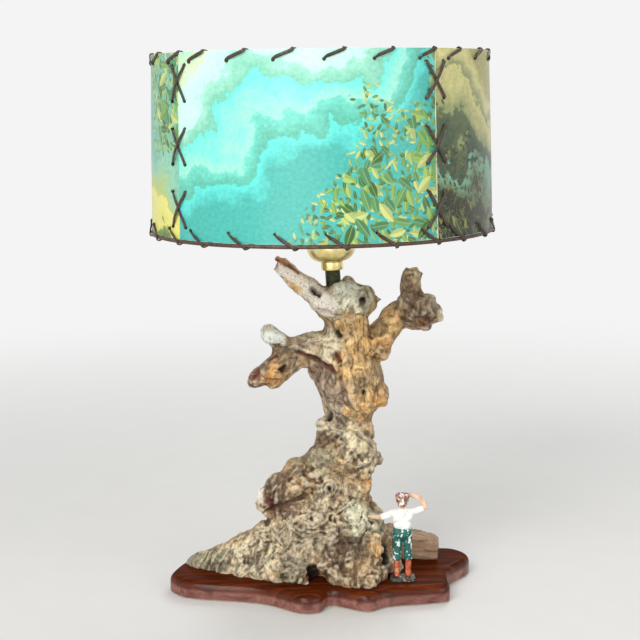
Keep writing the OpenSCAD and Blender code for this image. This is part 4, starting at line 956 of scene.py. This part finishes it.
# %% [markdown]
# What is left of the hardware is right as the CAD model has it, so those nodes stay and only get
# their finishes: plated steel, moulded plastics, fibre board and spring wire. Each is a fine mottle
# of two tones, because even plain metal is never one flat colour.

# %% Finishes for the CAD hardware
HARDWARE = [
    (("zinc_plated_steel", "#8b8d8e", "#b8babb", 2, 0.35, 1.0),
     ["base_screws", "terminal_screws", "switch_stem", "tilt_pin"]),
    (("galvanised_pipe_steel", "#777b7d", "#a3a7a8", 3, 0.4, 1.0), ["lamp_pipe"]),
    (("moulded_black_nylon", "#1b1a19", "#302e2b", 1.2, 0.5), ["cord_bushing"]),
    (("spun_socket_brass", "#d2bd70", "#f4e7ab", 9, 0.32, 1.0), ["socket_shell"]),
    (("vulcanised_fibre_board", "#6b4a2d", "#8d653c", 1.5, 0.75), ["insulating_sleeve"]),
    (("moulded_black_phenolic", "#1d1714", "#33291f", 2, 0.35), ["switch_body", "bulb_insulator"]),
    (("stamped_contact_brass", "#a88c43", "#d3b96c", 3, 0.35, 1.0),
     ["screw_shell", "centre_contact", "bulb_contact"]),
    (("moulded_brown_phenolic", "#3a2014", "#593520", 3, 0.3), ["switch_knob"]),
    (("rolled_aluminium_cap", "#a5a7a8", "#cfd1d2", 2, 0.38, 1.0), ["bulb_base"]),
    (("clear_stem_glass", "#c9cfce", "#e6ebea", 2, 0.15), ["filament_mount"]),
    (("plated_spring_wire", "#a08c55", "#cbb67a", 2, 0.35, 1.0), ["bulb_clip", "spider"])]
for recipe, nodes in HARDWARE:
    made = fine_finish(*recipe)
    for name in nodes:
        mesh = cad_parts[name].data
        mesh.materials.clear()
        mesh.materials.append(made)
print(sum(len(nodes) for _, nodes in HARDWARE), "CAD nodes finished")

# %% [markdown]
# Two wire rings keep the shade round. A torus is the start of each; a real ring is closed by a butt
# weld, so a few of its cross sections are swollen where the ends were fused.

# %% Shade rings
SHADE_BOTTOM_R, SHADE_TOP_R, SHADE_H, SHADE_TOP_Z = 140, 136.5, 141, 448.774
SHADE_BOTTOM_Z = SHADE_TOP_Z - SHADE_H
RING_WIRE_R = 1.5
# Each ring: name, node, radius, height
RINGS = [("shade_top_ring", "top_ring", 134.06, 446.574),
         ("shade_bottom_ring", "bottom_ring", 139.6, 306.124)]
# Wire under brown paint, thin and a little uneven
painted_wire = fine_finish("brown_painted_wire", "#33241a", "#5b4331", 2.5, 0.45, 0.2, 0.12)
WELD_WIDTH, WELD_SWELL = 0.035, 0.22
for name, node_name, radius, z in RINGS:
    take()
    bpy.ops.mesh.primitive_torus_add(major_segments=180, minor_segments=14, major_radius=radius * MM,
                                     minor_radius=RING_WIRE_R * MM, location=(0, 0, z * MM))
    ring = bpy.context.object
    for vertex in ring.data.vertices:
        turn = math.atan2(vertex.co.x, vertex.co.y)
        core = Vector((math.sin(turn), math.cos(turn), 0)) * radius * MM
        swell = 1 + WELD_SWELL * math.exp(-(turn / WELD_WIDTH) ** 2)
        vertex.co = core + (vertex.co - core) * swell
    finish_piece(ring, name, "shade", node_name, painted_wire, 60)

# %% [markdown]
# The shade is four panels of stiff printed card, bent to a drum that narrows a little towards the
# top. Each starts as a flat grid, which brings its own UV map for the print, and is rolled onto the
# drum. Solidify gives the card its thickness with a plain lining inside, and a boolean punches the
# holes for the lace.

# %% Shade panels
PANEL_TURN, SEAM_TURN, PANEL_T, SEAM_GAP = 90, 38.3, 0.8, 0.8
STITCHES, HOLE_PITCH, RIM_MARGIN, HOLE_R = 6, 15.6, 7.5, 1.4
CROSSES, CROSS_H, CROSS_MARGIN, SEAM_MARGIN = 3, 27, 9.5, 9
# How far the card lies inside the drum, its waves at the rims and its bow between them
PANEL_BACK, CARD_WAVE, CARD_BOW = 0.4, 0.3, 0.5
CROSS_PITCH = (SHADE_H - 2 * CROSS_MARGIN - CROSS_H) / (CROSSES - 1)
SEAM_SIDE = math.degrees(SEAM_MARGIN / SHADE_BOTTOM_R)


def shade_r(z):
    """Outside radius of the drum at a height."""
    return SHADE_BOTTOM_R + (SHADE_TOP_R - SHADE_BOTTOM_R) * (z - SHADE_BOTTOM_Z) / SHADE_H


def round_shade(r, phi, z):
    """A point on the drum: radius, degrees from the front towards the right, height."""
    return Vector((r * math.sin(math.radians(phi)), -r * math.cos(math.radians(phi)), z))


def panel_phi(panel):
    return SEAM_TURN - PANEL_TURN / 2 + PANEL_TURN * panel


def hole_phi(k):
    """The turn of the k-th rim hole, counted over all the panels."""
    return panel_phi(k // STITCHES) + (k % STITCHES - (STITCHES - 1) / 2) * HOLE_PITCH


def cross_high(c):
    """Height of a laced cross's upper holes."""
    return SHADE_TOP_Z - CROSS_MARGIN - c * CROSS_PITCH


def lace_holes(panel):
    """The turn and height of every lace hole of a panel."""
    rims = [(hole_phi(panel * STITCHES + i), z) for i in range(STITCHES)
            for z in (SHADE_TOP_Z - RIM_MARGIN, SHADE_BOTTOM_Z + RIM_MARGIN)]
    seams = [(panel_phi(panel) + side * (PANEL_TURN / 2 - SEAM_SIDE), cross_high(c) - low)
             for side in (-1, 1) for c in range(CROSSES) for low in (0, CROSS_H)]
    return rims + seams


def roll_panel(panel, outside, inside):
    """Roll a flat grid onto the drum, thicken it with its lining and punch its lace holes."""
    take()
    bpy.ops.mesh.primitive_grid_add(x_subdivisions=72, y_subdivisions=36, size=1)
    piece = bpy.context.object
    width = PANEL_TURN - math.degrees(SEAM_GAP / SHADE_BOTTOM_R)
    for vertex in piece.data.vertices:
        across, up = vertex.co.x, vertex.co.y
        z = SHADE_BOTTOM_Z + (up + 0.5) * SHADE_H
        wave = CARD_WAVE * math.sin(math.tau * STITCHES * across + panel) * (2 * up) ** 4
        bow = CARD_BOW * math.sin(math.pi * (up + 0.5)) * math.sin(math.tau * across * 1.5 + 2 * panel)
        r = shade_r(z) + wave - PANEL_BACK + bow
        vertex.co = round_shade(r, panel_phi(panel) + across * width, z) * MM
    piece.data.materials.append(outside)
    piece.data.materials.append(inside)
    shape(piece, "SOLIDIFY", thickness=PANEL_T * MM, offset=-1, material_offset=1, material_offset_rim=1)
    take()
    bpy.ops.mesh.primitive_cylinder_add(vertices=12, radius=SPECK * MM, depth=SPECK * MM, location=(0, 0, -1))
    punch = bpy.context.object
    bpy.ops.object.transform_apply(location=True)
    with editing():
        for phi, z in lace_holes(panel):
            bpy.ops.mesh.primitive_cylinder_add(vertices=16, radius=HOLE_R * MM, depth=8 * MM,
                                                location=round_shade(shade_r(z), phi, z) * MM,
                                                rotation=(0, math.pi / 2, math.radians(phi - 90)))
    shape(piece, "BOOLEAN", operation="DIFFERENCE", object=punch, solver="EXACT")
    bpy.data.objects.remove(punch)
    return piece


# %% [markdown]
# The panels carry colour prints under a clear film. The prints here are a design of our own: slanting
# ribbons of colour with torn edges, and drifts of leaves over them. The ribbons are a tilted height
# read through a colour ramp and bent by noise. Each leaf is one Voronoi cell: the place in the cell
# is turned by a random angle and tested against a pointed oval. Leaves show where their drift lies.

# %% Printed panels
PANEL_W = math.radians(PANEL_TURN) * SHADE_BOTTOM_R
# Layers of leaves: cell in millimetres, slenderness, lean, shift of the layer
LEAVES = [(6, 0.2, 0.4, 3.1), (8, 0.17, 2.0, 7.7), (11, 0.2, 1.2, 1.9), (15, 0.22, 0.6, 5.3),
          (19, 0.2, 1.7, 8.9)]
DRIFT_EDGE = 0.03


def leaf_spray(node, flat, colours, cell, slender, lean, shift):
    """A layer of scattered leaves, one to a cell of this size in millimetres: colour and mask."""
    small = node("Mapping", flat, Location=(shift, -shift, 0), Scale=(1 / cell, 1 / cell, 1))
    cells = node("TexVoronoi", small, Scale=1, Randomness=0.9, voronoi_dimensions="2D").node.outputs
    chance = node("SeparateColor", cells["Color"]).node.outputs
    inside = node("VectorMath", small, cells["Position"], operation="SUBTRACT")
    angle = node("MapRange", chance[0], 0, 1, lean - 0.9, lean + 0.9)
    swung = node("VectorRotate", inside, Angle=angle, rotation_type="Z_AXIS")
    along, across = node("SeparateXYZ", swung).node.outputs[:2]
    taper = node("MapRange", node("Math", along, along, operation="MULTIPLY"), 0, 0.26, slender, 0)
    width = node("Math", across, operation="ABSOLUTE")
    mask = node("MapRange", node("Math", taper, width, operation="SUBTRACT"), 0, 0.03)
    tone = node("ValToRGB", chance[1], ramp=colours)
    # One half of each leaf lies in shade, and its rib is pale
    shaded = node("Mix", node("MapRange", across, -0.03, 0.03, 0, 0.3), tone, paint("#2e4a24"))
    return node("Mix", node("MapRange", width, 0.005, 0.03, 0.22, 0), shaded, paint("#e3efb6")), mask


def printed_card(name, ribbons, leaves, tilt, drift, seed):
    """Card with a printed design of ribbons and drifts of leaves under a clear satin film."""
    material, node, shader, place = start_material(name, Roughness=0.36, Specular_IOR_Level=0.4)
    sheet = node("UVMap", uv_map="UVMap")
    flat = node("Mapping", sheet, Location=(seed * 37, seed * 11, 0), Scale=(PANEL_W, SHADE_H, 1))
    across, up = node("SeparateXYZ", sheet).node.outputs[:2]
    level = node("Math", up, node("Math", across, tilt, operation="MULTIPLY"), operation="ADD")
    big = node("TexNoise", flat, Scale=1 / 90, Detail=2)
    torn = node("TexNoise", flat, Scale=1 / 14, Detail=8, Roughness=0.68)
    for bend, reach in ((big, 0.5), (torn, 0.16)):
        level = node("Math", level, node("MapRange", bend, 0, 1, -reach, reach), operation="ADD")
    grain = node("TexNoise", flat, Scale=1 / 3.2, Detail=5, Roughness=0.7)
    speck = node("ValToRGB", grain, ramp=[(0.3, "#8a8a86"), (0.7, "#f0f0ea")])
    inked = node("Mix", 0.3, node("ValToRGB", level, ramp=ribbons), speck, blend_type="OVERLAY")
    zone = node("TexNoise", flat, Scale=1 / 55, Detail=4, Distortion=0.6)
    *way, start = drift
    lies = node("VectorMath", sheet, (*way, 0), operation="DOT_PRODUCT", out="Value")
    lies = node("Math", lies, zone, operation="ADD")
    for row in LEAVES:
        colour, mask = leaf_spray(node, flat, leaves, *row)
        grove = node("MapRange", lies, start, start + DRIFT_EDGE)
        inked = node("Mix", node("Math", mask, grove, operation="MULTIPLY"), inked, colour)
        start += DRIFT_EDGE
    ripple = node("TexNoise", place, Scale=per(18), Detail=2)
    wire(shader, Base_Color=inked, Normal=node("Bump", Height=ripple, Strength=0.12, Distance=0.6 * MM))
    return material


WATER = [(0, "#46aaa0"), (0.15, "#5fd6cc"), (0.17, "#57ac96"), (0.3, "#6cccba"), (0.32, "#98dcc6"),
    (0.48, "#6cdccf"), (0.5, "#74bca2"), (0.6, "#98d8c0"), (0.62, "#b6ead8"), (0.78, "#c4f0de"),
    (0.8, "#cfe6b8"), (0.92, "#b6dfba"), (1, "#a0dac8")]
DUSK = [(0, "#26271a"), (0.3, "#393b2a"), (0.32, "#616b4c"), (0.46, "#77a992"), (0.48, "#3c4a3a"),
    (0.58, "#5c6b4a"), (0.6, "#8d9468"), (0.76, "#cfc88a"), (0.78, "#8a9066"), (0.9, "#d6cf92"),
    (1, "#a9a468")]
FIELD = [(0, "#24543e"), (0.2, "#3f8a6c"), (0.22, "#76ba9a"), (0.4, "#5aa08a"), (0.42, "#3f5a22"),
    (0.55, "#6d8a3a"), (0.57, "#d6d06c"), (0.75, "#ded67a"), (0.77, "#b1bc62"), (0.9, "#86bfa6"),
    (1, "#6fae9a")]
FRESH = [(0.1, "#3f6426"), (0.35, "#4f8a5a"), (0.55, "#7aa748"), (0.75, "#a9c46a"), (0.92, "#c9cf7e")]
DARK = [(0.15, "#23251a"), (0.45, "#343924"), (0.7, "#555c30"), (0.9, "#85854a")]
# Each print: side, ribbons, leaves, tilt, direction and start of the drift, seed
PRINTS = [
    ("front", WATER, FRESH, -0.7, (0.75, -0.45, 0.78), 1), ("right", DUSK, DARK, 0.5, (-0.5, -0.5, 0.2), 2),
    ("back", WATER, FRESH, 0.6, (-0.7, -0.4, 0.05), 3), ("left", FIELD, FRESH, 0.6, (0.5, 0.6, 1.25), 4)]
# Uncoated card: cream and matt
lining = fine_finish("cream_card_lining", "#d9d0b6", "#ece5d0", 1.4, 0.8)
for panel, (side, *design) in enumerate(PRINTS):
    card = roll_panel(panel, printed_card(side + "_print_card", *design), lining)
    finish_piece(card, side + "_panel_card", "shade", side + "_panel", None, 40)

# %% [markdown]
# A flat lace of dark brown leather holds the shade together: it whips over the top rim and round the
# bottom ring, and crosses each seam three times. The route goes through the same holes as in the CAD
# model. A flat strap is swept along it, its broad face kept square to the card it lies on.

# %% Lacing route
# Room that the lace keeps from the lining, and from whatever it lies on
PANEL_SLACK, LACE_GAP = 0.8, 0.15
LACE_W, LACE_T, LACE_D, STITCH_SLANT = 2.7, 1.0, 2.0, 14
LACE_OFF = LACE_T / 2 + LACE_GAP
RING_TOP, RING_BOTTOM = RINGS[0][2:], RINGS[1][2:]
BEND = math.degrees(LACE_D / SHADE_BOTTOM_R)
STITCH_TURN = math.degrees(STITCH_SLANT / SHADE_BOTTOM_R)


def whip_stitch(phi, following, top):
    """One stitch: out of its hole, slanting to the rim, round it and back inside to the next hole."""
    sign = 1 if top else -1
    rim = SHADE_TOP_Z if top else SHADE_BOTTOM_Z
    ring_r, ring_z = RING_TOP if top else RING_BOTTOM
    edge = max(rim, ring_z + RING_WIRE_R) if top else ring_z - RING_WIRE_R
    hole_z = rim - sign * RIM_MARGIN
    out, inside = shade_r(hole_z) + LACE_OFF, shade_r(hole_z) - PANEL_T - PANEL_SLACK - LACE_OFF
    lip = (shade_r(rim) if top else ring_r + RING_WIRE_R) + LACE_OFF
    ring_in = ring_r - RING_WIRE_R - LACE_OFF
    over = phi + STITCH_TURN
    route = [
        (inside, phi, hole_z), (out, phi, hole_z), (out, phi + BEND, hole_z + sign * LACE_D),
        (lip, over, edge - sign * 0.9), (lip - 0.8, over + BEND / 2, edge + sign * LACE_OFF),
        (ring_r, over + BEND, edge + sign * LACE_OFF), (ring_in, over + 1.5 * BEND, ring_z + sign * 0.8),
        (ring_in, over + 2 * BEND, ring_z - sign * RING_WIRE_R),
        (inside - 0.4, following - BEND, hole_z + sign * 0.5)]
    return [round_shade(*at) for at in route]


def laced_cross(seam, c):
    """One cross: a diagonal, a run inside, the second diagonal over the first, then down behind."""
    high = cross_high(c)
    low, middle = high - CROSS_H, high - CROSS_H / 2
    turn = 1 - LACE_D / SEAM_MARGIN / 2
    near_high, near_low = high - LACE_D, low + LACE_D
    out, lift = LACE_OFF, LACE_OFF + LACE_T + 0.1
    route = [
        (-1, high, -out), (-1, high, out), (-turn, near_high, out), (0, middle, out), (turn, near_low, out),
        (1, low, out), (1, low, -out), (0, low, -out), (-1, low, -out), (-1, low, out),
        (-turn, near_low, out), (-0.35, low + CROSS_H * 0.33, lift), (0.35, low + CROSS_H * 0.67, lift),
        (turn, near_high, out), (1, high, out), (1, high, -out)]
    if c + 1 < CROSSES:
        behind = -out - LACE_T - 0.6
        route += [(0.5, middle, behind), (0, low, behind),
                  (-0.5, low - (CROSS_PITCH - CROSS_H) / 2, -out - 0.5)]
    lining = PANEL_T + PANEL_SLACK
    return [round_shade(shade_r(z) + (off if off > 0 else off - lining), seam + side * SEAM_SIDE, z)
            for side, z, off in route]


# %% [markdown]
# The sweep carries a frame along the route without twisting it and leans it, step by step, towards the
# card's own normal. A lace looks the same on both faces, so the nearer of the two directions is used.

# %% Lacing sweep
SECTION = squarish(LACE_W / 2, LACE_T / 2, 0.5, 0.7, (np.arange(10) + 0.5) * math.tau / 10)


def smooth_route(keys, closed, pitch=1.3):
    """Points about a millimetre apart on a smooth curve through the keys."""
    n, line = len(keys), []
    for i in range(n if closed else n - 1):
        four = [keys[(i + k) % n if closed else min(max(i + k, 0), n - 1)] for k in (-1, 0, 1, 2)]
        steps = max(2, round((four[2] - four[1]).length / pitch))
        line += [curve_point(*four, t) for t in np.arange(steps) / steps]
    return line if closed else line + [keys[-1]]


def card_side(p, low, high):
    """Direction away from the card, whose edges lie at these heights."""
    z = min(max(p.z, low), high)
    middle = Vector((p.x, p.y, 0)).normalized() * (shade_r(z) - PANEL_T / 2 - PANEL_BACK)
    return (p - (middle + Vector((0, 0, z)))).normalized()


def sweep_lace(keys, closed, low, high, points, faces):
    """Add one flat lace to the points and faces of a mesh."""
    line = smooth_route(keys, closed)
    n, first, sides = len(line), len(points), len(SECTION)
    face_way = card_side(line[0], low, high)
    starts = []
    for i, p in enumerate(line):
        before, after = (line[(i + k) % n if closed else min(max(i + k, 0), n - 1)] for k in (-1, 1))
        heading = (after - before).normalized()
        face_way = (face_way - heading * face_way.dot(heading)).normalized()
        wanted = card_side(p, low, high)
        wanted -= heading * wanted.dot(heading)
        if wanted.length > 0.5:
            wanted.normalize()
            face_way = (face_way + 0.5 * math.copysign(1, wanted.dot(face_way)) * wanted).normalized()
        across = heading.cross(face_way)
        starts.append(face_way.copy())
        points.extend(p + across * x + face_way * y for x, y in SECTION)
    # Where a closed lace comes back with its other face up, its last ring joins the first half a turn on
    half = sides // 2 if starts[-1].dot(starts[0]) < 0 else 0
    for i in range(n if closed else n - 1):
        turn = half if i == n - 1 else 0
        a, b = first + i * sides, first + (i + 1) % n * sides
        for k in range(sides):
            faces.append((a + k, a + (k + 1) % sides, b + (k + 1 + turn) % sides, b + (k + turn) % sides))
    if not closed:
        faces.append(tuple(first + k for k in reversed(range(sides))))
        faces.append(tuple(first + (n - 1) * sides + k for k in range(sides)))


# Flat leather lace, dyed dark brown and polished by handling
lace_leather = fine_finish("dyed_leather_lace", "#1f1610", "#45382b", 1.8, 0.42, 0, 0.2)


def lace_piece(name, node_name, routes, closed, low, high):
    """Sweep the routes, close the skin and finish it as one piece of lacing."""
    points, faces = [], []
    for keys in routes:
        sweep_lace(keys, closed, low, high, points, faces)
    piece = new_mesh(name, points, faces)
    with editing():
        bpy.ops.mesh.normals_make_consistent(inside=False)
    finish_piece(piece, name, "shade", node_name, lace_leather, 60)


def rim_route(top):
    """The keys of all the stitches round one rim."""
    holes = range(len(PRINTS) * STITCHES)
    return [p for k in holes for p in whip_stitch(hole_phi(k), hole_phi(k + 1), top)]


lace_piece("rim_lace_top", "top_lacing", [rim_route(True)], True, SHADE_BOTTOM_Z, SHADE_TOP_Z - 1)
lace_piece("rim_lace_bottom", "bottom_lacing", [rim_route(False)], True, RING_BOTTOM[1], SHADE_TOP_Z)
seams = [[p for c in range(CROSSES) for p in laced_cross(SEAM_TURN + PANEL_TURN * s, c)]
         for s in range(len(PRINTS))]
lace_piece("seam_lace", "seam_lacing", seams, False, SHADE_BOTTOM_Z, SHADE_TOP_Z)
